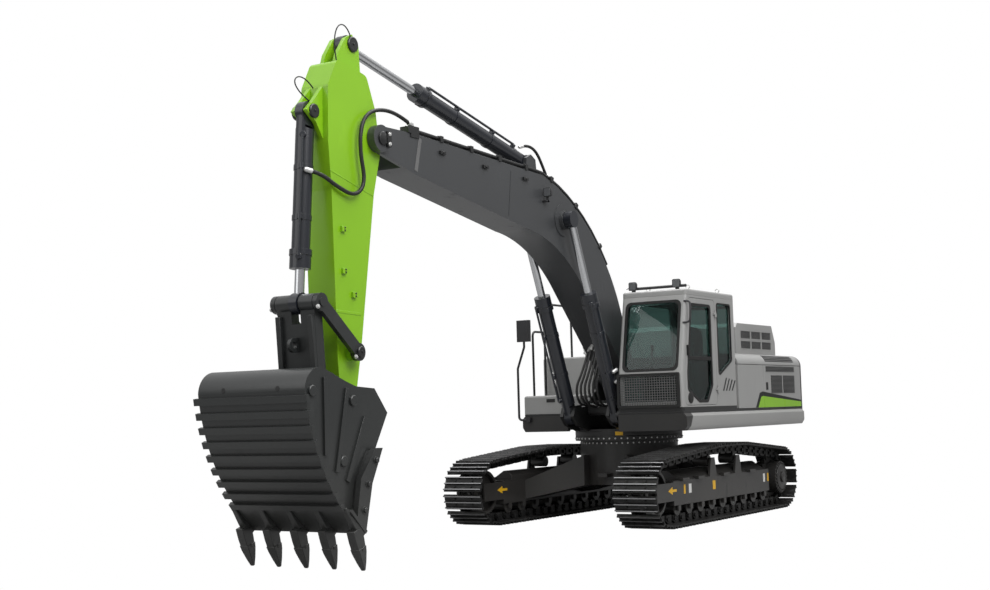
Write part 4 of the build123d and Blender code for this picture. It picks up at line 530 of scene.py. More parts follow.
def arrow_outline(x, z, length, height):
    """Plain arrow that points forward."""
    return [
        (x + length / 2, z),
        (x, z + height / 2),
        (x, z + height / 6),
        (x - length / 2, z + height / 6),
        (x - length / 2, z - height / 6),
        (x, z - height / 6),
        (x, z - height / 2),
    ]


def ring_places(at, axis, radius, count):
    """Evenly spaced points on a circle."""
    axis = Vector(axis).normalized()
    across = axis.orthogonal().normalized() * radius
    return [Vector(at) + Matrix.Rotation(turn, 3, axis) @ across for turn in turns(count)]


def smooth_route(points, order=3):
    """Points of a smooth curve guided by a few control points."""
    line = bpy.data.curves.new("route", "CURVE")
    line.dimensions = "3D"
    line.resolution_u = 8
    spline = line.splines.new("NURBS")
    spline.points.add(len(points) - 1)
    for knot, point in zip(spline.points, points):
        knot.co = (*point, 1.0)
    spline.order_u = order
    spline.use_endpoint_u = True
    holder = bpy.data.objects.new("route", line)
    bpy.context.scene.collection.objects.link(holder)
    bpy.context.view_layer.update()
    mesh = bpy.data.meshes.new_from_object(holder.evaluated_get(bpy.context.evaluated_depsgraph_get()))
    result = [vertex.co.copy() for vertex in mesh.vertices]
    bpy.data.objects.remove(holder)
    bpy.data.meshes.remove(mesh)
    return result


def round_edges(piece, width):
    """Small round on the sharp edges of a piece."""
    edge = piece.modifiers.new("edge round", "BEVEL")
    edge.width = width
    edge.segments = 2
    edge.limit_method = "ANGLE"
    edge.angle_limit = SHARP
    edge.harden_normals = False
    edge.miter_outer = "MITER_ARC"


# Finish of each node, and a slot name for each finish
NODE_FINISHES = {
    "arm": ("arm",),
    "boom": ("boom",),
    "bucket": ("bucket", "bucket_link", "idler_links", "lifting_eye"),
    "ram": ("boom_ram_barrels", "arm_ram_barrel", "bucket_ram_barrel"),
    "chrome": ("boom_ram_rods", "arm_ram_rod", "bucket_ram_rod"),
    "body": (
        "cab_frame", "cab_roof", "cab_door", "left_front_door", "left_rear_door", "right_door",
        "engine_hood", "fuel_tank", "step_box", "bay_decks",
    ),
    "skirt": ("skirts",),
    "weight": ("counterweight",),
    "black": (
        "car_body", "track_frame_left", "track_frame_right", "tow_eyes", "idlers", "sprockets",
        "bottom_rollers", "carrier_rollers", "slew_ring_lower", "slew_ring_upper", "centre_frame",
        "deck_plates", "bay_posts", "bay_bulkhead", "valve_block", "cab_floor", "handrails",
    ),
    "plastic": ("mirror", "control_consoles", "roof_lamps", "air_cleaner"),
    "glass": ("cab_glass", "door_glass"),
    "engine": ("engine_block",),
}
SLOTS = {
    "arm": "arm_paint",
    "boom": "boom_paint",
    "bucket": "bucket_paint",
    "body": "body_paint",
    "black": "chassis_paint",
    "ram": "ram_paint",
    "weight": "counterweight_iron",
    "track": "track_steel",
    "zinc": "ring_steel",
    "cloth": "seat_fabric",
    "plastic": "console_plastic",
    "rubber": "console_plastic",
    "seal": "console_plastic",
    "mirror": "window_glass",
}


class Shape:
    """A mesh in the making, in the machine's frame; each method adds one closed form."""

    def __init__(self):
        self.mesh = bmesh.new()
        self.paint = 0

    def face(self, points):
        """One face in the paint of the moment."""
        made = self.mesh.faces.new(list(points))
        made.material_index = self.paint

    def skin(self, rings, closed=False):
        """Faces between rings of equally many points; gives the rings' vertices back."""
        rows = [[self.mesh.verts.new(point) for point in ring] for ring in rings]
        for row, following in zip(rows, rows[1:] + rows[:1] if closed else rows[1:]):
            for index in range(len(row)):
                after = (index + 1) % len(row)
                self.face((row[index], row[after], following[after], following[index]))
        return rows

    def loft(self, rings):
        """Skin through rings of points, closed at both ends."""
        rows = self.skin(rings)
        self.face(reversed(rows[0]))
        self.face(rows[-1])
        return self

    def plate(self, outline, low, high, plane="xz"):
        """Flat plate with its outline in a plane, between two distances across it."""
        place = {
            "xz": lambda a, b, c: (a, c, b),
            "xy": lambda a, b, c: (a, b, c),
            "yz": lambda a, b, c: (c, a, b),
        }[plane]
        return self.loft([[place(a, b, across) for a, b in outline] for across in (low, high)])

    def block(self, low, high):
        """Square block between two corners."""
        return self.plate(oblong(low, high), low[2], high[2], "xy")

    def strip(self, start, end, width, low, high):
        """Flat strip between two (x, z) points, from one distance across to another."""
        start = Vector(start)
        end = Vector(end)
        along = (end - start).normalized()
        across = Vector((-along.y, along.x)) * width / 2
        return self.plate([start + across, end + across, end - across, start - across], low, high)

    def band(self, outline, widths, corner, depth, place):
        """Flat band round an opening: widths lie outside and inside the outline, depth across it."""
        outer = rounded(grown(outline, widths[0]), corner)
        inner = rounded(grown(outline, -widths[1]), corner)
        low, high = depth
        rings = []
        for far, near in zip(outer, inner):
            section = ((*far, low), (*far, high), (*near, high), (*near, low))
            rings.append([place @ Vector(point) for point in section])
        self.skin(rings, closed=True)
        return self

    def turned(self, at, axis, profile, sides=24):
        """Turned piece: profile holds (distance along the axis, radius) pairs."""
        axis = Vector(axis).normalized()
        return self.loft([
            ring_places(Vector(at) + axis * along, axis, radius, sides) for along, radius in profile
        ])

    def tube(self, points, radius, sides=10):
        """Round tube along a line of points."""
        points = [Vector(point) for point in points]
        legs = [(b - a).normalized() for a, b in zip(points, points[1:])]
        bends = [(a + b).normalized() for a, b in zip(legs, legs[1:])]
        across = legs[0].orthogonal().normalized()
        rings = []
        for point, tangent in zip(points, [legs[0], *bends, legs[-1]]):
            across = (across - tangent * across.dot(tangent)).normalized()
            beside = tangent.cross(across)
            spokes = [across * math.cos(turn) + beside * math.sin(turn) for turn in turns(sides)]
            rings.append([point + spoke * radius for spoke in spokes])
        return self.loft(rings)

    def bolt(self, at, axis, size):
        """Hexagon bolt head on its washer."""
        washer = ((-0.2, 0.8), (0.12, 0.8))
        head = ((0.0, 0.58), (0.5, 0.58), (0.6, 0.48))
        for profile, sides in ((washer, 12), (head, 6)):
            self.turned(at, axis, [(along * size, radius * size) for along, radius in profile], sides)
        return self

    def stamp(self, other, place):
        """Copy of another shape, moved by a matrix."""
        copies = {vertex: self.mesh.verts.new(place @ vertex.co) for vertex in other.mesh.verts}
        for face in other.mesh.faces:
            made = self.mesh.faces.new([copies[vertex] for vertex in face.verts])
            made.material_index = face.material_index
        return self

    def make(self, name, body, *finishes, bevel=0.0, soft=0):
        """Turn the shape into a piece that rides on a body."""
        bmesh.ops.recalc_face_normals(self.mesh, faces=self.mesh.faces)
        data = bpy.data.meshes.new(name)
        self.mesh.to_mesh(data)
        self.mesh.free()
        for finish in finishes:
            data.materials.append(FINISHES[finish])
        data.shade_smooth()
        if not soft:
            data.set_sharp_from_angle(angle=SHARP)
        piece = bpy.data.objects.new(name, data)
        bpy.context.scene.collection.objects.link(piece)
        if bevel:
            round_edges(piece, bevel)
        if soft:
            swell = piece.modifiers.new("soft form", "SUBSURF")
            swell.levels = soft
            swell.render_levels = soft
        if body:
            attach(piece, body)
        finishes[0] in SLOTS
        return piece


class ExcavatorFinishes(bpy.types.Operator):
    """Paint the main pieces and round their edges a little"""

    bl_idname = "excavator.finishes"
    bl_label = "Finishes"
    bl_options = {"REGISTER", "UNDO"}

    def execute(self, context):
        mix_finishes(context.scene.excavator_colours)
        for finish, nodes in NODE_FINISHES.items():
            for node in nodes:
                piece = NODES[node]
                piece.data.materials.clear()
                piece.data.materials.append(FINISHES[finish])
                seams = piece.modifiers.new("closed seams", "WELD")
                seams.merge_threshold = 0.0001
                if finish != "glass":
                    round_edges(piece, 0.005)
                piece.modifiers.new("even shading", "WEIGHTED_NORMAL")
        for node, eye in ROD_EYES.items():
            data = NODES[node].data
            data.materials.append(FINISHES["ram"])
            for face in data.polygons:
                if math.hypot(face.center.x - eye.x, face.center.z - eye.z) < 1.3 * EYE_RADIUS:
                    face.material_index = 1
        return {"FINISHED"}


CARRIER_SPOTS = (0.37, -0.5)
CARRIER_HEIGHT = 0.8
CARRIER_RADIUS = 0.075
# Share of a track link's height that lies inside its pin line
LINK_INSIDE = 0.45


def belt_route(wheels, height):
    """Closed line that a belt takes round wheels, at a height over their rims."""
    normals = []
    for (first, first_radius), (second, second_radius) in zip(wheels, wheels[1:] + wheels[:1]):
        run = second - first
        lean = (first_radius - second_radius) / run.length
        along = run.normalized()
        normals.append(along * lean + Vector((along.y, -along.x)) * math.sqrt(1 - lean * lean))
    route = []
    for index, (centre, radius) in enumerate(wheels):
        turn = -normals[index - 1].angle_signed(normals[index])
        steps = max(2, round(turn / math.radians(3)))
        for angle in spread(0.0, turn, steps + 1):
            route.append(centre + Matrix.Rotation(angle, 2) @ normals[index - 1] * (radius + height))
    return route


def evenly(route, count):
    """Points at equal steps along a closed line."""
    legs = list(zip(route, route[1:] + route[:1]))
    step = sum((end - start).length for start, end in legs) / count
    points = []
    travelled = 0.0
    for start, end in legs:
        leg = (end - start).length
        while len(points) < count and len(points) * step < travelled + leg:
            points.append(start.lerp(end, (len(points) * step - travelled) / leg))
        travelled += leg
    return points


def track_shoe(sizes, pitch, width):
    """One shoe with grousers, bolts, links and pin; x runs along the track, z out from the pin line."""
    shoe = Shape()
    low = sizes.link * (1 - LINK_INSIDE)
    top = low + sizes.shoe
    tip = top + sizes.grouser
    half = pitch / 2
    outline = [(half * 0.97, low), (half * 0.97, top)]
    for spot in (0.8 * half, 0.0, -0.8 * half):
        outline += [(spot + 0.014, top), (spot + 0.006, tip), (spot - 0.006, tip), (spot - 0.014, top)]
    outline += [(-half * 1.05, top), (-half * 1.05, low)]
    shoe.plate(outline, -width / 2, width / 2)
    for face in shoe.mesh.faces:
        if all(corner.co.z > tip - 0.001 for corner in face.verts):
            face.material_index = 1
    hole_shade = [(0.014 * math.cos(turn), 0.034 * math.sin(turn)) for turn in turns(10)]
    for x in (-0.4 * half, 0.4 * half):
        for side in SIDES:
            shoe.paint = 0
            shoe.bolt((x, side * 0.135, top), UP, 0.026)
            # Painted shade: dark ellipses in the black seal finish stand for the shade inside the shoe's
            # holes.
            shoe.paint = 2
            shoe.plate([(x + u, side * 0.065 + v) for u, v in hole_shade], top - SUNK, top + 0.001, "xy")
    shoe.paint = 0
    head = sizes.link * LINK_INSIDE
    for way, inner, outer in ((1, 0.080, 0.104), (-1, 0.058, 0.080)):
        end = way * (half + 0.04)
        outline = [(end, -head / 2), (end - way * 0.025, -head), (-way * 0.02, -head), (-way * 0.02, low)]
        outline += [(end - way * 0.06, low), (end, head / 2)]
        for side in SIDES:
            shoe.plate(outline, *span(side, inner, outer))
    return shoe.turned((half, -0.125, 0.0), LEFT, [(0.0, 0.026), (0.25, 0.026)], 10)


class ExcavatorTracks(bpy.types.Operator):
    """Lay the two crawler tracks: shoes, links, pins and bolts"""

    bl_idname = "excavator.tracks"
    bl_label = "Tracks"
    bl_options = {"REGISTER", "UNDO"}

    def execute(self, context):
        sizes = context.scene.excavator_sizes
        front = box_middle("idlers")
        rear = box_middle("sprockets")
        rim = front.z - sizes.grouser - sizes.shoe - sizes.link
        wheels = [(Vector((x, front.z)), rim) for x in (rear.x, front.x)]
        wheels += [(Vector((x, CARRIER_HEIGHT)), CARRIER_RADIUS) for x in CARRIER_SPOTS]
        pins = evenly(belt_route(wheels, sizes.link * LINK_INSIDE), sizes.shoes)
        for node in ("track_left", "track_right"):
            low, high = corners(node)
            shoe = track_shoe(sizes, (pins[1] - pins[0]).length, high.y - low.y)
            track = Shape()
            for pin, following in zip(pins, pins[1:] + pins[:1]):
                run = (following - pin).normalized()
                middle = (pin + following) / 2
                at = (middle.x, (low.y + high.y) / 2, middle.y)
                track.stamp(shoe, axes((run.x, 0, run.y), -LEFT, (run.y, 0, -run.x), at))
            shoe.mesh.free()
            piece = track.make(node + "_shoes", "undercarriage", "track", "grouser", "seal")
            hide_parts(node)
        return {"FINISHED"}


TRACK_FRAMES = ((1, "track_frame_left"), (-1, "track_frame_right"))
# Rows of bolts round the slewing ring: the node that they sit on and their height
RING_BOLTS = 56
RING_BOLT_ROWS = (("slew_ring_lower", 1.128), ("car_body", 1.062))
STEP_PADS = (1.35, 0.86, 0.02, -0.92)
# Blank plates on the track frames: paint, x and width
FRAME_PLATES = ((0, 1.31, 0.05), (1, 1.14, 0.08), (0, 0.36, 0.09), (1, -1.45, 0.07), (0, -1.60, 0.05))


class ExcavatorUndercarriage(bpy.types.Operator):
    """Trim the undercarriage: drive covers, ring bolts, frame tops, arrows and blank plates"""

    bl_idname = "excavator.undercarriage"
    bl_label = "Undercarriage trim"
    bl_options = {"REGISTER", "UNDO"}

    def execute(self, context):
        size = context.scene.excavator_sizes.bolt
        rear = box_middle("sprockets")
        drives = Shape()
        for side in SIDES:
            out = side * LEFT
            face = touch("sprockets", (rear.x, side * 2.5, rear.z), -out)
            drives.turned(face, out, [(-0.01, 0.19), (0.014, 0.19), (0.022, 0.175), (0.022, 0.09)], 32)
            drives.turned(face, out, [(0.02, 0.08), (0.045, 0.08), (0.05, 0.07)], 24)
            for place in ring_places(face + out * 0.002, LEFT, 0.213, 24):
                drives.bolt(place, out, size * 0.6)
        drives.make("drive_covers", "undercarriage", "black", bevel=0.002)

        ring = Shape()
        for node, height in RING_BOLT_ROWS:
            for place in ring_places((0, 0, height), UP, 2.0, RING_BOLTS):
                inward = Vector((-place.x, -place.y, 0.0))
                ring.bolt(touch(node, place, inward), -inward, size * 0.42)
        ring.make("ring_bolts", "undercarriage", "zinc")

        tops = Shape()
        marks = Shape()
        for side, node in TRACK_FRAMES:
            low, high = corners(node)
            inner, outer = sorted((abs(low.y), abs(high.y)))
            inner = side * (inner + 0.004)
            outer = side * (outer - 0.004)
            slope = [
                (inner, high.z - 0.01),
                (outer, high.z - 0.01),
                (outer - side * 0.05, high.z + 0.035),
                (outer - side * 0.19, high.z + 0.125),
                (inner + side * 0.07, high.z + 0.125),
                (inner, high.z + 0.06),
            ]
            tops.plate(slope, -1.50, 1.42, "yz")
            near, far = span(side, 1.40, 1.51)
            for x in STEP_PADS:
                tops.block((x - 0.10, near, high.z - 0.012), (x + 0.10, far, high.z + 0.03))
            for way in SIDES:
                wall = touch(node, (1.6, side * 1.295 + way, 0.45), -way * LEFT).y
                near, far = layer(wall, way, 0.001, 0.002)
                marks.paint = 0
                marks.plate(arrow_outline(1.68, 0.467, 0.25, 0.10), near, far)
                if side == way:
                    for paint, x, width in FRAME_PLATES:
                        marks.paint = paint
                        marks.block((x - width / 2, near, 0.41), (x + width / 2, far, 0.53))
        tops.make("frame_tops", "undercarriage", "black", bevel=0.004)
        marks.make("frame_markers", "undercarriage", "marker", "plate")
        return {"FINISHED"}


TEETH = 5
TOOTH_WIDTH = 0.105
# Sections of a tooth's adapter and point: distance along the tooth, half width and half depth
ADAPTER = ((0.0, 0.048, 0.070), (0.12, 0.050, 0.066), (0.235, 0.050, 0.052))
POINT = ((0.19, 0.056, 0.063), (0.25, 0.054, 0.052), (0.35, 0.040, 0.030), (0.434, 0.020, 0.012))
# Sections of the ridge behind a tooth: distance up the bucket's floor, half width and height
RIDGE = ((0.0, 0.050, 0.075), (0.16, 0.046, 0.055), (0.38, 0.030, 0.012))
# Pads, strips and plugs on the bucket's sides, as (x, z) points; a strip's last number is its width
BUCKET_SIDE = 0.685
CUTTER_PAD = ((7.26, 0.45), (7.36, 0.55), (7.28, 0.91), (7.07, 1.20), (6.97, 1.20), (7.13, 0.88))
CUTTER_BOLTS = ((7.26, 0.62), (7.19, 0.87), (7.06, 1.10))
WEAR_STRIPS = (
    ((7.115, 1.53), (7.416, 0.908), 0.06),
    ((7.74, 1.93), (7.74, 1.175), 0.05),
    ((7.40, 1.82), (7.58, 1.006), 0.05),
)
SIDE_PLUGS = ((7.30, 1.70), (7.47, 1.11), (7.93, 1.80))


class ExcavatorBucket(bpy.types.Operator):
    """Arm the bucket: teeth on adapters, cutter pads, wear strips, plugs, link cheeks and bolts"""

    bl_idname = "excavator.bucket"
    bl_label = "Bucket tools"
    bl_options = {"REGISTER", "UNDO"}

    def execute(self, context):
        lip = BUCKET_PIN + Vector((0.520, 0, -1.330))
        root = lip + Vector((0.120, 0, 0.050))
        tip = lip + Vector((-0.018, 0, -0.362))
        along = (tip - root).normalized()
        across = Vector((-along.z, 0, along.x))
        rise = Vector((0.23, 0, 0.225)).normalized()
        outward = Vector((rise.z, 0, -rise.x))

        def section(y, distance, half, depth):
            middle = root + along * distance + LEFT * y
            square = ((1, 1), (1, -1), (-1, -1), (-1, 1))
            return [middle + LEFT * half * a + across * depth * b for a, b in square]

        teeth = Shape()
        low, high = corners("bucket_teeth")
        for y in spread(low.y + TOOTH_WIDTH / 2, high.y - TOOTH_WIDTH / 2, TEETH):
            teeth.paint = 0
            for rows in (ADAPTER, POINT):
                teeth.loft([section(y, *row) for row in rows])
            ridge = []
            for distance, half, height in RIDGE:
                foot = lip + rise * distance + LEFT * y
                ridge.append([
                    foot + LEFT * half - outward * 0.01,
                    foot - LEFT * half - outward * 0.01,
                    foot - LEFT * half * 0.8 + outward * height,
                    foot + LEFT * half * 0.8 + outward * height,
                ])
            teeth.loft(ridge)
            teeth.paint = 1
            pin = root + along * 0.205 + LEFT * (y - 0.062)
            teeth.turned(pin, LEFT, [(0.0, 0.016), (0.124, 0.016)], 12)
        piece = teeth.make("bucket_points", "bucket", "bucket", "black", bevel=0.006)
        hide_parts("bucket_teeth")

        dress = Shape()
        for side in SIDES:
            out = side * LEFT
            dress.plate(CUTTER_PAD, *span(side, BUCKET_SIDE, 0.722))
            for x, z in CUTTER_BOLTS:
                dress.bolt((x, side * 0.780, z), out, 0.05)
            for start, end, width in WEAR_STRIPS:
                dress.strip(start, end, width, *span(side, BUCKET_SIDE, 0.712))
            for x, z in SIDE_PLUGS:
                plug = [(0.0, 0.055), (0.022, 0.055), (0.03, 0.045), (0.03, 0.02)]
                dress.turned((x, side * (BUCKET_SIDE + 0.003), z), out, plug, 20)
        dress.paint = 1
        for side in SIDES:
            place, normal = surface("bucket", (9.5, side * 0.35, 1.83), -FORWARD)
            dress.turned(place, normal, [(-SUNK, 0.028), (0.002, 0.028)], 20)
        dress.make("bucket_wear_parts", "bucket", "bucket", "seal", bevel=0.004)

        cheeks = Shape()
        bolts = Shape()
        for side in SIDES:
            foot, head = (touch("bucket_link", (9.0, side * 0.21, z), -FORWARD) for z in (1.95, 2.58))
            cheeks.strip(foot.xz, head.xz, 0.09, *span(side, 0.180, 0.243))
            for pin in (IDLER_FOOT, LINK_TOP):
                place = touch("idler_links", (pin.x + 0.07, side * 1.0, pin.z - 0.05), -side * LEFT)
                bolts.bolt(place, side * LEFT, 0.03)
        cheeks.make("link_cheeks", "bucket_link", "bucket", bevel=0.006)
        bolts.make("link_bolts", "idler_links", "zinc")
        return {"FINISHED"}


def work_lamp(shape, at):
    """Square work lamp that shines forward, with its lens."""
    square = rounded(oblong((-1, -1), (1, 1)), 0.35, 3)

    def ring(distance, half):
        middle = Vector(at) + FORWARD * distance
        return [middle + LEFT * half * a + UP * half * b for a, b in square]

    shape.paint = 0
    shape.loft([ring(-0.06, 0.025), ring(-0.045, 0.045), ring(0.0, 0.058), ring(0.02, 0.058)])
    shape.paint = 1
    shape.loft([ring(0.0195, 0.050), ring(0.0225, 0.048)])
    shape.paint = 0


# Small clamps on the boom's sides, as (x, z) points
SIDE_CLAMPS = ((4.963, 4.562), (4.043, 4.518), (3.105, 4.486))
# Pins with lock plates: the body that they ride on, the pin and half its length
KEPT_PINS = (("boom", BOOM_TIP, BOOM_SIDE + 0.05), ("house", BOOM_FOOT, 0.301))


class ExcavatorBoom(bpy.types.Operator):
    """Dress the boom: seams, oil pipes in clamps, hose bracket, pin keepers and work lamp"""

    bl_idname = "excavator.boom"
    bl_label = "Boom dressing"
    bl_options = {"REGISTER", "UNDO"}

    def execute(self, context):
        sizes = context.scene.excavator_sizes
        seams = Shape()
        for side in SIDES:
            out = side * LEFT
            low, high = span(side, BOOM_SIDE - SUNK, BOOM_SIDE + 0.004)
            eye = BOOM_RAM_EYE + out * BOOM_SIDE
            seams.paint = 0
            seams.strip((3.433, 4.545), (3.512, 3.975), 0.012, low, high)
            seams.turned(eye, out, [(-SUNK, 0.215), (0.012, 0.215)], 40)
            seams.paint = 1
            seams.strip((5.392, 4.670), (5.487, 4.283), 0.06, low, high)
            seams.paint = 2
            seams.turned(eye, out, [(0.0, 0.105), (0.06, 0.105)], 32)
        seams.make("boom_seams", "boom", "boom", "grille", "black")

        pipes = Shape()
        clamps = Shape()
        clamp = Shape().block((-0.03, -0.06, -0.004), (0.03, 0.06, 0.07))
        for side in SIDES:
            line = [surface("boom", (x, side * 0.19, 6.5), -UP) for x in spread(0.95, 5.60, 23)]
            for offset in (-0.024, 0.024):
                route = [place + normal * 0.045 + LEFT * offset for place, normal in line]
                pipes.tube(route, sizes.pipe, 8)
            for place, normal in line[1::3]:
                clamps.stamp(clamp, axes(LEFT.cross(normal), LEFT, normal, place))
                clamps.bolt(place + normal * 0.07, normal, sizes.bolt * 0.5)
            low, high = span(side, BOOM_SIDE - SUNK, BOOM_SIDE + 0.028)
            for x, z in SIDE_CLAMPS:
                clamps.block((x - 0.055, low, z - 0.02), (x + 0.055, high, z + 0.02))
                clamps.bolt((x, side * (BOOM_SIDE + 0.028), z), side * LEFT, sizes.bolt * 0.6)
            low, high = span(side, 0.15, BOOM_SIDE + 0.012)
            clamps.block((5.42, low, 4.66), (5.58, high, 4.79))
            clamps.turned((5.50, side * 0.19, 4.79), UP, [(0.0, 0.03), (0.04, 0.03)], 16)
        clamp.mesh.free()
        pipes.make("boom_pipes", "boom", "black")
        clamps.make("boom_clamps", "boom", "black", bevel=0.003)

        for body, pin, half in KEPT_PINS:
            keepers = Shape()
            face = half + 0.03
            for side in SIDES:
                out = side * LEFT
                low, high = span(side, half, face)
                keepers.paint = 0
                keepers.turned(pin + out * half, out, [(-0.01, 0.075), (0.018, 0.075), (0.024, 0.066)], 28)
                keepers.block((pin.x - 0.13, low, pin.z - 0.085), (pin.x - 0.06, high, pin.z + 0.085))
                keepers.paint = 1
                for rise in (-0.055, 0.055):
                    keepers.bolt((pin.x - 0.095, side * face, pin.z + rise), out, sizes.bolt * 0.8)
            keepers.make("pin_keepers_" + body, body, "black", "zinc", bevel=0.003)

        lamp = Shape()
        lamp.block((2.60, BOOM_SIDE - SUNK, 4.24), (2.68, BOOM_SIDE + 0.07, 4.26))
        lamp.block((2.62, BOOM_SIDE + 0.05, 4.24), (2.66, BOOM_SIDE + 0.07, 4.36))
        work_lamp(lamp, (2.66, BOOM_SIDE + 0.075, 4.36))
        lamp.make("boom_lamp", "boom", "plastic", "lens", bevel=0.003)
        return {"FINISHED"}


# Hose pads on the arm's sides, as (x, z) points
ARM_PADS = ((6.769, 3.507), (6.766, 3.064), (6.604, 2.82))
# Pins with caps: the pin, half its length and the cap's radius
CAPPED_PINS = ((ARM_RAM_EYE, 0.112, 0.085), (BUCKET_RAM_FOOT, 0.110, 0.075), (IDLER_FOOT, 0.316, 0.060))
GREASE_LINES = (
    ((6.74, 0.12, 5.33), (6.86, 0.13, 5.72), (6.60, 0.13, 5.86), (6.48, 0.12, 5.62)),
    ((7.13, 0.06, 4.83), (7.32, 0.06, 4.90), (7.42, 0.05, 5.05), (7.18, 0.04, 5.10), (7.05, 0.05, 4.98)),
)


class ExcavatorArm(bpy.types.Operator):
    """Dress the arm: weld lines, hose pads, pin caps and grease lines"""

    bl_idname = "excavator.arm"
    bl_label = "Arm dressing"
    bl_options = {"REGISTER", "UNDO"}

    def execute(self, context):
        size = context.scene.excavator_sizes.bolt
        welds = Shape()
        caps = Shape()
        for side in SIDES:
            out = side * LEFT
            low, high = span(side, ARM_SIDE - SUNK, ARM_SIDE + 0.004)
            welds.strip((6.955, 4.112), (6.225, 3.92), 0.014, low, high)
            welds.strip((6.895, 2.638), (6.475, 2.622), 0.030, low, high)
            low, high = span(side, ARM_SIDE - SUNK, ARM_SIDE + 0.03)
            for x, z in ARM_PADS:
                welds.block((x - 0.035, low, z - 0.03), (x + 0.035, high, z + 0.03))
                for rise in (-0.014, 0.014):
                    caps.bolt((x - 0.01, side * (ARM_SIDE + 0.03), z + rise), out, size * 0.4)
            for pin, half, radius in CAPPED_PINS:
                cap = [(-0.01, radius), (0.016, radius), (0.024, radius - 0.01)]
                caps.turned(pin + out * half, out, cap, 28)
                caps.bolt(pin + out * (half + 0.022), out, size * 0.6)
        welds.make("arm_welds", "arm", "arm", bevel=0.003)
        caps.make("arm_pin_caps", "arm", "black", bevel=0.002)

        lines = Shape()
        for points in GREASE_LINES:
            lines.tube(smooth_route(points, 4), 0.007, 8)
        lines.make("arm_grease_lines", "arm", "rubber")
        return {"FINISHED"}


# Rams: name, node of the barrel, rod's eye, barrel's length, y of each ram and the side of its pipe
RAMS = (
    ("boom_ram", "boom_ram_barrels", BOOM_RAM_EYE, 1.79, (0.36, -0.36), FORWARD),
    ("arm_ram", "arm_ram_barrel", ARM_RAM_EYE, 2.48, (0.0,), UP),
    ("bucket_ram", "bucket_ram_barrel", LINK_TOP, 1.66, (0.0,), FORWARD),
)
# Shares of a barrel's length where its clamp bands and its ports sit
RAM_BANDS = (0.36, 0.68)
RAM_PORTS = (0.16, 0.93)


class ExcavatorRams(bpy.types.Operator):
    """Dress the rams: gland bolts, clamp bands, ports and side pipes"""

    bl_idname = "excavator.rams"
    bl_label = "Ram dressing"
    bl_options = {"REGISTER", "UNDO"}

    def execute(self, context):
        sizes = context.scene.excavator_sizes
        for ram, node, eye, length, offsets, out in RAMS:
            foot = pivot(ram + "_tilt")
            axis = (eye - foot).normalized()
            face = (out - axis * out.dot(axis)).normalized()
            dress = Shape()
            for offset in offsets:
                base = foot + LEFT * (offset - foot.y)
                beside = LEFT if offset >= 0 else -LEFT
                port = (face + beside * 0.6).normalized()

                def spot(share, lift=0.0):
                    return base + axis * length * share + port * lift

                def collar(at, half, radius, sides):
                    profile = [(-half, 0.096), (-half, radius), (half, radius), (half, 0.096)]
                    dress.turned(at, axis, profile, sides)

                dress.paint = 0
                gland = base + axis * (length - 0.17)
                collar(gland, 0.03, 0.118, 36)
                for share in RAM_BANDS:
                    collar(spot(share), 0.028, 0.104, 32)
                    dress.turned(spot(share, 0.118), axis, [(-0.026, 0.032), (0.026, 0.032)], 12)
                for share in RAM_PORTS:
                    dress.turned(spot(share, 0.08), port, [(0.0, 0.034), (0.055, 0.034), (0.06, 0.028)], 16)
                dress.tube([spot(share, 0.135) for share in (0.16, 0.18, 0.91, 0.93)], sizes.pipe * 0.9)
                dress.paint = 1
                for place in ring_places(gland + axis * 0.03, axis, 0.107, 12):
                    dress.bolt(place, axis, sizes.bolt * 0.5)
            dress.make(node + "_fittings", node, "ram", "black", bevel=0.002)
        return {"FINISHED"}


# Windows of the cab, as (x, z) outlines, anticlockwise
QUARTER_WINDOW = ((-0.327, 2.176), (0.135, 1.96), (0.135, 2.96), (-0.327, 2.96))
DOOR_WINDOW = (
    (0.359, 1.829),
    (0.535, 1.605),
    (0.815, 1.605),
    (1.165, 1.765),
    (1.165, 2.0),
    (0.989, 2.92),
    (0.359, 2.92),
)
# Front and rear windows: their lower and upper edge and their sides
SCREEN_FOOT = 2.04
SCREEN_HEAD = 2.96
SCREEN_RIGHT = 0.624
SCREEN_LEFT = 1.42
# Ends of the slope that the windscreen lies on
KNEE = Vector((1.33, 0.0, 2.0))
BROW = Vector((1.118, 0.0, 3.04))
LEFT_WALL = axes(FORWARD, UP, -LEFT)
SIDE_DEPTH = (-CAB_SIDE - 0.005, -CAB_SIDE + 0.012)
LAMP_SPOTS = (0.664, 1.32)
ROOF_EYES = ((0.62, 1.30), (-0.38, 1.30), (0.62, 0.70), (-0.38, 0.70))
GRAB_BAR = (
    (1.13, 1.47, 2.95),
    (1.14, 1.55, 2.95),
    (1.15, 1.57, 2.90),
    (1.165, 1.57, 2.72),
    (1.17, 1.56, 2.66),
    (1.19, 1.47, 2.66),
)
GUARD_UPRIGHTS = 24
GUARD_RUNGS = 13


def cushion(shape, middle, half, lean):
    """Crowned cushion for a soft form, leaning back by an angle."""
    turn = Matrix.Translation(middle) @ Matrix.Rotation(lean, 4, "Y")
    octagon = ((1, 0.6), (0.6, 1), (-0.6, 1), (-1, 0.6), (-1, -0.6), (-0.6, -1), (0.6, -1), (1, -0.6))
    rings = []
    for height, inset in ((-1.0, 0.75), (-0.8, 1.0), (0.6, 1.0), (1.0, 0.7)):
        flat = [(half[0] * a * inset, half[1] * b * inset, half[2] * height) for a, b in octagon]
        rings.append([turn @ Vector(point) for point in flat])
    shape.loft(rings)


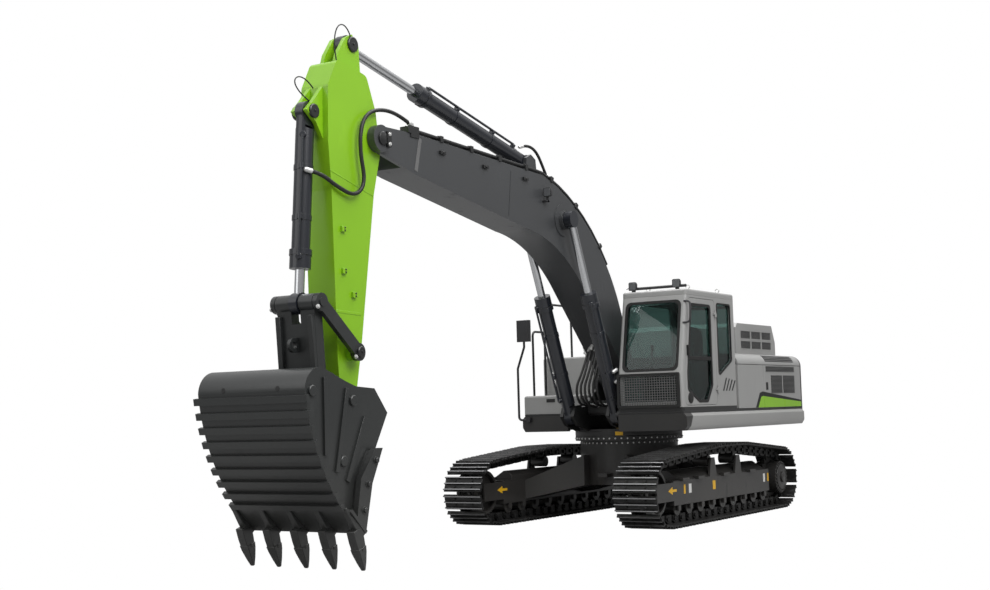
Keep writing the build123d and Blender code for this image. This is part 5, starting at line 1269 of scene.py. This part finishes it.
class ExcavatorCab(bpy.types.Operator):
    """Fit the cab: window seals, roof lamps and eyes, grab bar, seat, controls, guard and painted shade in
    the louvre slots
    """

    bl_idname = "excavator.cab"
    bl_label = "Cab fittings"
    bl_options = {"REGISTER", "UNDO"}

    def execute(self, context):
        seal = context.scene.excavator_sizes.seal
        slope = (BROW - KNEE).normalized()
        foot, head = ((z - KNEE.z) / slope.z for z in (SCREEN_FOOT, SCREEN_HEAD))
        screen = oblong((SCREEN_RIGHT, foot), (SCREEN_LEFT, head))
        back = oblong((-SCREEN_LEFT, SCREEN_FOOT), (-SCREEN_RIGHT, SCREEN_HEAD))
        sloped = axes(LEFT, slope, LEFT.cross(slope), KNEE)
        rear_wall = axes(-LEFT, UP, -FORWARD)
        rear_depth = (-CAB_REAR - 0.012, -CAB_REAR + 0.005)
        seals = Shape()
        seals.band(screen, (0.016, seal * 0.6), 0.08, (-0.012, 0.006), sloped)
        seals.band(QUARTER_WINDOW, (0.012, seal * 0.3), 0.05, SIDE_DEPTH, LEFT_WALL)
        seals.band(back, (0.012, seal), 0.06, rear_depth, rear_wall)
        seals.make("cab_seals", "house", "seal")
        seals = Shape()
        seals.band(DOOR_WINDOW, (0.012, seal * 0.8), 0.06, SIDE_DEPTH, LEFT_WALL)
        seals.block((0.35, CAB_SIDE - 0.012, 2.165), (1.14, CAB_SIDE + 0.006, 2.215))
        handle = [(-0.004, 0.075), (0.010, 0.075), (0.016, 0.065), (0.016, 0.03)]
        seals.turned((1.10, CAB_SIDE, 1.66), LEFT, handle, 28)
        seals.block((1.13, CAB_SIDE - SUNK, 2.22), (1.17, CAB_SIDE + 0.03, 2.36))
        seals.make("door_seals", "cab_door", "seal", bevel=0.002)

        lamps = Shape()
        low, high = corners("roof_lamps")
        x = (low.x + high.x) / 2
        bar = ROOF_TOP + 0.05
        lamps.tube([(x, low.y, bar), (x, high.y, bar)], 0.020, 12)
        for y in LAMP_SPOTS:
            lamps.block((x - 0.025, y - 0.02, ROOF_TOP - 0.004), (x + 0.025, y + 0.02, ROOF_TOP + 0.06))
            work_lamp(lamps, (x + 0.02, y, ROOF_TOP + 0.085))
            lead = [
                (x - 0.03, y - 0.02, ROOF_TOP + 0.09),
                (x - 0.08, y - 0.07, ROOF_TOP + 0.10),
                (x, y - 0.11, bar),
            ]
            lamps.tube(smooth_route(lead), 0.006, 6)
        piece = lamps.make("roof_lamp_set", "house", "plastic", "lens", bevel=0.002)
        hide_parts("roof_lamps")
        eyes = Shape()
        for x, y in ROOF_EYES:
            eyes.turned((x, y, ROOF_TOP - SUNK), UP, [(0.0, 0.03), (0.02, 0.03), (0.03, 0.015)], 16)
            loop = []
            for turn in spread(0.0, math.tau, 17):
                loop.append((x, y + 0.028 * math.sin(turn), ROOF_TOP + 0.062 - 0.028 * math.cos(turn)))
            eyes.tube(loop, 0.008, 8)
        eyes.make("roof_eyes", "house", "zinc")
        grip = Shape().tube(smooth_route(GRAB_BAR), 0.014, 12)
        grip.make("grab_bar", "house", "plastic")

        seat = Shape()
        low, high = corners("operator_seat")
        middle = (low.y + high.y) / 2
        cushion(seat, (low.x + 0.34, middle, low.z + 0.42), (0.24, 0.23, 0.07), 0.0)
        cushion(seat, (low.x + 0.10, middle, low.z + 0.78), (0.07, 0.21, 0.36), math.radians(-10))
        padding = seat.make("seat_cushions", "house", "cloth", soft=2)
        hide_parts("operator_seat")
        base = Shape()
        base.block((low.x + 0.16, middle - 0.16, low.z), (low.x + 0.52, middle + 0.16, low.z + 0.37))
        for side in SIDES:
            near = middle + side * 0.30
            far = middle + side * 0.31
            base.tube(smooth_route([(0.62, far, 2.14), (0.64, far, 2.26), (0.60, near, 2.34)]), 0.016)
            base.turned((0.60, near, 2.33), UP, [(0.0, 0.02), (0.05, 0.03), (0.08, 0.024)], 16)
        base.block((1.02, 0.62, 2.06), (1.06, 0.80, 2.22))
        base.make("cab_controls", "house", "plastic", bevel=0.006)

        guard = Shape()
        low, high = corners("front_guard")
        border = oblong(low.yz, high.yz)
        guard.band(border, (0.0, 0.035), 0.02, (low.x + 0.005, high.x), axes(LEFT, UP, FORWARD))
        guard.paint = 1
        bottom, top = low.z + 0.02, high.z - 0.02
        for y in spread(low.y + 0.03, high.y - 0.03, GUARD_UPRIGHTS):
            guard.block((low.x + 0.012, y - 0.004, bottom), (low.x + 0.018, y + 0.004, top))
        right, left = low.y + 0.02, high.y - 0.02
        for z in spread(low.z + 0.03, high.z - 0.03, GUARD_RUNGS):
            guard.block((low.x + 0.018, right, z - 0.004), (low.x + 0.023, left, z + 0.004))
        piece = guard.make("guard_mesh", "house", "seal", "grille")
        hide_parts("front_guard")

        # Painted shade: thin dark plates in the black seal finish stand for the shade inside the cab's
        # slanted louvre slots.
        slot_shades = Shape()
        for index in range(4):
            x = -0.02 - 0.10 * index
            top = 1.93 - 0.012 * index
            slot = [(x, 1.75), (x + 0.035, 1.75), (x - 0.08, top), (x - 0.115, top)]
            slot_shades.plate(slot, CAB_SIDE - SUNK, CAB_SIDE + 0.003)
        slot_shades.make("cab_louvre_shades", "house", "seal")
        return {"FINISHED"}


def louvre_panel(shape, low, high, y, rows):
    """Pale blades over a dark panel, on a side wall at y; the dark panel is painted shade for the gaps
    between the blades.
    """
    way = 1 if y > 0 else -1
    # Painted shade: the dark panel in the black seal finish stands for the shade behind the blades.
    shape.paint = 1
    near, far = layer(y, way, 0.001, 0.002)
    shape.block((low[0], near, low[1]), (high[0], far, high[1]))
    shape.paint = 0
    step = (high[1] - low[1]) / rows
    near, far = layer(y, way, -0.001, 0.009)
    for index in range(rows):
        z = low[1] + step * (index + 0.25)
        shape.block((low[0], near, z), (high[0], far, z + step * 0.4))


def shoulder_louvres(shape, ends, centre, radius, angles, rows):
    """Pale blades over a dark band, bent round the body's shoulder between two angles in degrees; the dark
    band is painted shade for the gaps between the blades.
    """

    def bow(start, end, distance, steps=6):
        reach = radius + distance
        bend = [math.radians(angle) for angle in spread(start, end, steps + 1)]
        return [(centre[0] + reach * math.cos(turn), centre[1] + reach * math.sin(turn)) for turn in bend]

    low, high = angles
    # Painted shade: the dark band in the black seal finish stands for the shade behind the blades.
    shape.paint = 1
    shape.plate(bow(low, high, 0.002) + bow(high, low, -0.003), *ends, "yz")
    shape.paint = 0
    step = (high - low) / rows
    for index in range(rows):
        start = low + step * (index + 0.3)
        end = start + step * 0.4
        shape.plate(bow(start, end, 0.008, 2) + bow(end, start, 0.0, 2), *ends, "yz")


# Ends of the louvres behind the rear door, and the round of the shoulder over them
VENT_REAR = -2.76
VENT_FRONT = -1.60
SHOULDER = 0.16
# Stripe along the left doors, as (x, z) outlines: its dark border and the colour inside it
STRIPE_BORDER = [(-1.16, 1.500), (-3.02, 1.500), (-3.02, 1.60), (-1.44, 1.735), (-1.33, 1.715)]
STRIPE_COLOUR = [(-1.25, 1.500), (-3.02, 1.500), (-3.02, 1.572), (-1.45, 1.668), (-1.38, 1.655)]
# Parts of the stripe: name, body and the x values between which it lies
STRIPE_PARTS = (("front", "left_front_door", -1.497, 0.0), ("rear", "left_rear_door", -4.0, -1.503))
# Pockets in the hood's sides
POCKET_ROWS = 2
POCKET_COLUMNS = 3
POCKET_LENGTH = 0.40
POCKET_HEIGHT = 0.137
POCKET_PITCH = (0.415, 0.152)
POCKET_RIM = 0.015
# Bowl and cap of the air cleaner: heights over their foot and radii
CLEANER_AT = Vector((-0.35, -0.80, 2.325))
CLEANER_BOWL = (
    (0.0, 0.06),
    (0.04, 0.06),
    (0.045, 0.085),
    (0.07, 0.085),
    (0.075, 0.078),
    (0.095, 0.078),
    (0.10, 0.085),
    (0.125, 0.085),
    (0.13, 0.078),
)
CLEANER_CAP = ((0.0, 0.092), (0.03, 0.092), (0.045, 0.07), (0.05, 0.02))


class ExcavatorHouse(bpy.types.Operator):
    """Dress the house: louvres, stripe, hood grilles, air cleaner, mirror glass, blank plate and latch"""

    bl_idname = "excavator.house"
    bl_label = "House dressing"
    bl_options = {"REGISTER", "UNDO"}

    def execute(self, context):
        side = corners("left_rear_door")[1].y
        vents = Shape()
        louvre_panel(vents, (VENT_REAR, 2.03), (VENT_FRONT, 2.11), side, 4)
        louvre_panel(vents, (-2.24, 1.71), (-1.80, 1.975), side, 14)
        louvre_panel(vents, (VENT_REAR, 1.71), (-2.29, 1.975), side, 14)
        vents.paint = 1
        vents.block((-1.66, side - SUNK, 1.76), (-1.59, side + 0.006, 1.87))
        vents.make("rear_door_louvres", "left_rear_door", "grille", "seal")
        shoulder = Shape()
        deck = corners("bay_decks")[1]
        middle = (deck.y - SHOULDER, deck.z - SHOULDER)
        shoulder_louvres(shoulder, (VENT_REAR, VENT_FRONT), middle, SHOULDER, (18, 60), 4)
        shoulder.make("shoulder_louvres", "house", "grille", "seal")
        right = Shape()
        louvre_panel(right, (VENT_REAR, 1.71), (-2.0, 2.0), -side, 14)
        right.make("right_door_louvres", "right_door", "grille", "seal")

        for name, body, low, high in STRIPE_PARTS:
            stripe = Shape()
            stripe.plate(clipped(STRIPE_BORDER, low, high), side - 0.001, side + 0.002)
            stripe.paint = 1
            stripe.plate(clipped(STRIPE_COLOUR, low, high), side - 0.001, side + 0.004)
            stripe.make("stripe_" + name, body, "seal", "arm")

        hood_low, hood_high = corners("engine_hood")
        grilles = Shape()
        for way in SIDES:
            y = hood_high.y * way
            depth = layer(-y, way, 0.003, 0.012)
            for row in range(POCKET_ROWS):
                low = hood_low.z + 0.09 + POCKET_PITCH[1] * row
                high = low + POCKET_HEIGHT
                for column in range(POCKET_COLUMNS):
                    front = hood_high.x - 0.17 - POCKET_PITCH[0] * column
                    rear = front - POCKET_LENGTH
                    foot = (rear + POCKET_RIM, low + POCKET_RIM)
                    head = (front - POCKET_RIM, high - POCKET_RIM)
                    louvre_panel(grilles, foot, head, y - way * 0.012, 7)
                    grilles.paint = 2
                    pocket = oblong((rear, low), (front, high))
                    grilles.band(pocket, (0.004, 0.012), 0.016, depth, LEFT_WALL)
        grilles.make("hood_grilles", "engine_hood", "grille", "seal", "body")

        cleaner = Shape()
        cleaner.turned(CLEANER_AT, UP, CLEANER_BOWL, 28)
        cleaner.paint = 1
        cleaner.turned(CLEANER_AT + UP * CLEANER_BOWL[-1][0], UP, CLEANER_CAP, 28)
        piece = cleaner.make("air_cleaner_bowl", "house", "zinc", "plastic", bevel=0.002)
        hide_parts("air_cleaner")

        glass = Shape()
        low, high = corners("mirror")
        foot = (low.x - 0.002, high.y - 0.195, high.z - 0.305)
        glass.block(foot, (low.x + 0.002, high.y - 0.015, high.z - 0.015))
        glass.make("mirror_glass", "house", "mirror")

        low, high = corners("slew_ring_upper")
        blank = Shape().block((high.x - 0.006, -0.055, -0.026), (high.x + 0.003, 0.055, 0.026))
        turn = Matrix.Rotation(math.radians(17), 4, "Z")
        mark = Shape().stamp(blank, Matrix.Translation((0, 0, (low.z + high.z) / 2)) @ turn)
        blank.mesh.free()
        mark.make("ring_plate", "house", "marker")

        face = corners("step_box")[1].x
        latch = Shape().block((face - SUNK, -1.12, 1.66), (face + 0.008, -0.98, 1.71))
        latch.make("step_latch", "house", "seal", bevel=0.003)
        return {"FINISHED"}


ARM_HOSE = (
    (5.52, 0.215, 4.80),
    (5.70, 0.225, 4.86),
    (6.02, 0.235, 4.90),
    (6.34, 0.245, 4.83),
    (6.50, 0.25, 4.66),
    (6.53, 0.25, 4.37),
    (6.44, 0.25, 4.02),
    (6.62, 0.24, 3.86),
    (6.92, 0.22, 3.95),
    (7.09, 0.17, 4.06),
    (7.25, 0.10, 4.09),
)
# Left one of the two arm ram hoses
ARM_RAM_HOSE = (
    (2.36, 0.14, 4.58),
    (2.46, 0.14, 4.72),
    (2.62, 0.13, 4.93),
    (2.84, 0.12, 4.98),
    (3.00, 0.11, 4.93),
)
BOOM_HOSES = 6


def hose(name, points, radius, *bodies):
    """Rubber hose with swaged ends; with one body it rides on that body, with two it rides on neither and
    keeps its shape.
    """
    path = smooth_route(points)
    shape = Shape().tube(path, radius, 12)
    shape.paint = 1
    swage = [(-0.02, radius * 0.8), (0.0, radius * 1.25), (0.07, radius * 1.25), (0.075, radius)]
    for end, inner in ((path[0], path[2]), (path[-1], path[-3])):
        shape.turned(end, inner - end, swage, 12)
    piece = shape.make(name, bodies[0] if len(bodies) == 1 else None, "rubber", "zinc")
    if len(bodies) == 2:
        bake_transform(piece)


class ExcavatorHoses(bpy.types.Operator):
    """Run the pressure hoses across the joints of the boom and the arm"""

    bl_idname = "excavator.hoses"
    bl_label = "Hoses"
    bl_options = {"REGISTER", "UNDO"}

    def execute(self, context):
        radius = context.scene.excavator_sizes.hose
        hose("arm_hose", ARM_HOSE, radius * 1.15, "boom", "arm")
        for index, side in enumerate(SIDES):
            arch = [(x, side * y, z) for x, y, z in ARM_RAM_HOSE]
            hose(f"arm_ram_hose_{index + 1}", arch, radius, "boom")
            for turn in range(2):
                lift = 0.14 * turn
                bend = [
                    (0.74, side * 0.35, 1.54),
                    (0.90, side * 0.42, 1.56),
                    (1.08, side * (0.49 - 0.04 * turn), 1.62 + 0.5 * lift),
                    (1.16, side * 0.50, 1.80 + lift),
                    (1.20, side * 0.50, 1.96 + lift),
                    (1.25 + 0.43 * lift, side * 0.47, 1.90 + lift),
                ]
                hose(f"ram_hose_{2 * index + turn + 1}", bend, radius * 1.1, "house", "boom_ram_barrels")
        for index in range(BOOM_HOSES):
            y = 0.05 * index - 0.125
            belly = touch("boom", (0.86 + 0.03 * (index % 2), y, 1.0), UP)
            rise = [
                (0.80, y * 1.1, 1.60),
                (0.96, y * 1.2, 1.60 - 0.02 * (index % 3)),
                (1.16, y * 1.3, 1.62 + 0.03 * (index % 2)),
                (1.24, y * 1.3, 1.84),
                (1.10, y * 1.1, 2.04),
                (0.5 * (belly.x + 1.0), y, belly.z - 0.10),
                (belly.x, y, belly.z - 0.01),
            ]
            hose(f"boom_hose_{index + 1}", rise, radius * 0.9, "house", "boom")
        manifold = Shape().block((0.66, -0.24, 1.488), (0.78, 0.24, 1.66))
        manifold.paint = 1
        for index in range(BOOM_HOSES):
            place = (0.775, 0.055 * index - 0.137, 1.60)
            manifold.turned(place, FORWARD, [(0.0, 0.026), (0.03, 0.026), (0.034, 0.02)], 6)
        manifold.make("hose_manifold", "house", "black", "zinc", bevel=0.004)
        return {"FINISHED"}


WHITE = (1.0, 1.0, 1.0, 1.0)
FLOOR_REACH = 60.0
# Area lights: name, place, size and power, all aimed at one point
LIGHTS = (
    ("key", (9.0, 12.0, 14.0), 9.0, 1900.0),
    ("fill", (16.0, -4.0, 9.0), 9.0, 260.0),
    ("top", (0.0, 0.0, 15.0), 12.0, 1500.0),
)
LIGHT_AIM = Vector((2.0, 0.0, 2.0))
# Camera of the reference view
CAMERA_AT = (18.445, 9.439, 1.560)
CAMERA_YAW = math.radians(212.304)
CAMERA_PITCH = math.radians(4.658)
CAMERA_ROLL = math.radians(-1.590)
CAMERA_LENS = 51.62


class ExcavatorStage(bpy.types.Operator):
    """Set a white stage with soft light and the camera of the reference view"""

    bl_idname = "excavator.stage"
    bl_label = "Stage"
    bl_options = {"REGISTER", "UNDO"}

    def execute(self, context):
        scene = context.scene
        ground = Finish("floor")
        ground.surface((0.30, 0.30, 0.30, 1.0), 0.9)
        paint = Wire(ground, ground.shader.outputs[0])
        glow = ground.node("ShaderNodeEmission", None, {"Color": WHITE, "Strength": 1.0})
        seen = ground.node("ShaderNodeLightPath", output="Is Camera Ray")
        blend = ground.node("ShaderNodeMixShader", None, {0: seen, 1: paint, 2: glow})
        ground.feed(ground.tree.nodes["Material Output"].inputs["Surface"], blend)
        FINISHES["floor"] = ground.material
        floor = Shape().block((-FLOOR_REACH, -FLOOR_REACH, -0.05), (FLOOR_REACH, FLOOR_REACH, -0.001))
        plane = floor.make("floor", None, "floor")

        scene.world = bpy.data.worlds.new("white room")
        scene.world.use_nodes = True
        sky = Nodes(scene.world.node_tree)
        place = sky.node("ShaderNodeTexCoord", output="Generated")
        height = sky.node("ShaderNodeSeparateXYZ", None, {0: place}, output="Z")
        rise = {"Value": height, "From Min": -0.1, "From Max": 0.9, "To Min": 0.12, "To Max": 1.0}
        overcast = sky.node("ShaderNodeMapRange", None, rise)
        seen = sky.node("ShaderNodeLightPath", output="Is Camera Ray")
        strength = sky.node("ShaderNodeMix", None, {"Factor": seen, "A": overcast, "B": 1.0})
        back = sky.tree.nodes["Background"]
        sky.feed(back.inputs["Color"], WHITE)
        sky.feed(back.inputs["Strength"], strength)

        for name, place, size, power in LIGHTS:
            data = bpy.data.lights.new(name, "AREA")
            data.size = size
            data.energy = power
            light = bpy.data.objects.new(name, data)
            light.location = place
            light.rotation_euler = (LIGHT_AIM - Vector(place)).to_track_quat("-Z", "Y").to_euler()
            scene.collection.objects.link(light)

        data = bpy.data.cameras.new("camera")
        data.sensor_width = 36.0
        data.lens = CAMERA_LENS
        data.clip_end = 200.0
        camera = bpy.data.objects.new("camera", data)
        flat = math.cos(CAMERA_PITCH)
        ahead = Vector((flat * math.cos(CAMERA_YAW), flat * math.sin(CAMERA_YAW), math.sin(CAMERA_PITCH)))
        level = ahead.cross(UP).normalized()
        over = level.cross(ahead)
        right = level * math.cos(CAMERA_ROLL) + over * math.sin(CAMERA_ROLL)
        top = over * math.cos(CAMERA_ROLL) - level * math.sin(CAMERA_ROLL)
        camera.matrix_world = axes(right, top, -ahead, CAMERA_AT)
        scene.collection.objects.link(camera)
        scene.camera = camera
        scene.view_settings.view_transform = "Standard"
        return {"FINISHED"}


class ExcavatorPanel(bpy.types.Panel):
    """Colours, sizes and build buttons"""

    bl_idname = "VIEW3D_PT_excavator"
    bl_label = "Crawler Excavator"
    bl_space_type = "VIEW_3D"
    bl_region_type = "UI"
    bl_category = "Excavator"

    def draw(self, context):
        for group in (context.scene.excavator_colours, context.scene.excavator_sizes):
            column = self.layout.column(align=True)
            for name in group.__annotations__:
                column.prop(group, name)
        for operator in OPERATORS:
            self.layout.operator(operator.bl_idname)


OPERATORS = (
    ExcavatorFinishes,
    ExcavatorTracks,
    ExcavatorUndercarriage,
    ExcavatorBucket,
    ExcavatorBoom,
    ExcavatorArm,
    ExcavatorRams,
    ExcavatorCab,
    ExcavatorHouse,
    ExcavatorHoses,
    ExcavatorStage,
)
CLASSES = (ExcavatorColours, ExcavatorSizes, *OPERATORS, ExcavatorPanel)


def register():
    """Add the classes and their properties to Blender."""
    for kind in CLASSES:
        bpy.utils.register_class(kind)
    bpy.types.Scene.excavator_colours = PointerProperty(type=ExcavatorColours)
    bpy.types.Scene.excavator_sizes = PointerProperty(type=ExcavatorSizes)


def unregister():
    """Take the properties and the classes out again."""
    del bpy.types.Scene.excavator_sizes
    del bpy.types.Scene.excavator_colours
    for kind in reversed(CLASSES):
        bpy.utils.unregister_class(kind)


def main():
    """Build every piece."""
    register()
    bpy.ops.excavator.finishes()
    bpy.ops.excavator.tracks()
    bpy.ops.excavator.undercarriage()
    bpy.ops.excavator.bucket()
    bpy.ops.excavator.boom()
    bpy.ops.excavator.arm()
    bpy.ops.excavator.rams()
    bpy.ops.excavator.cab()
    bpy.ops.excavator.house()
    bpy.ops.excavator.hoses()
    bpy.ops.excavator.stage()


if __name__ == "__main__":
    main()
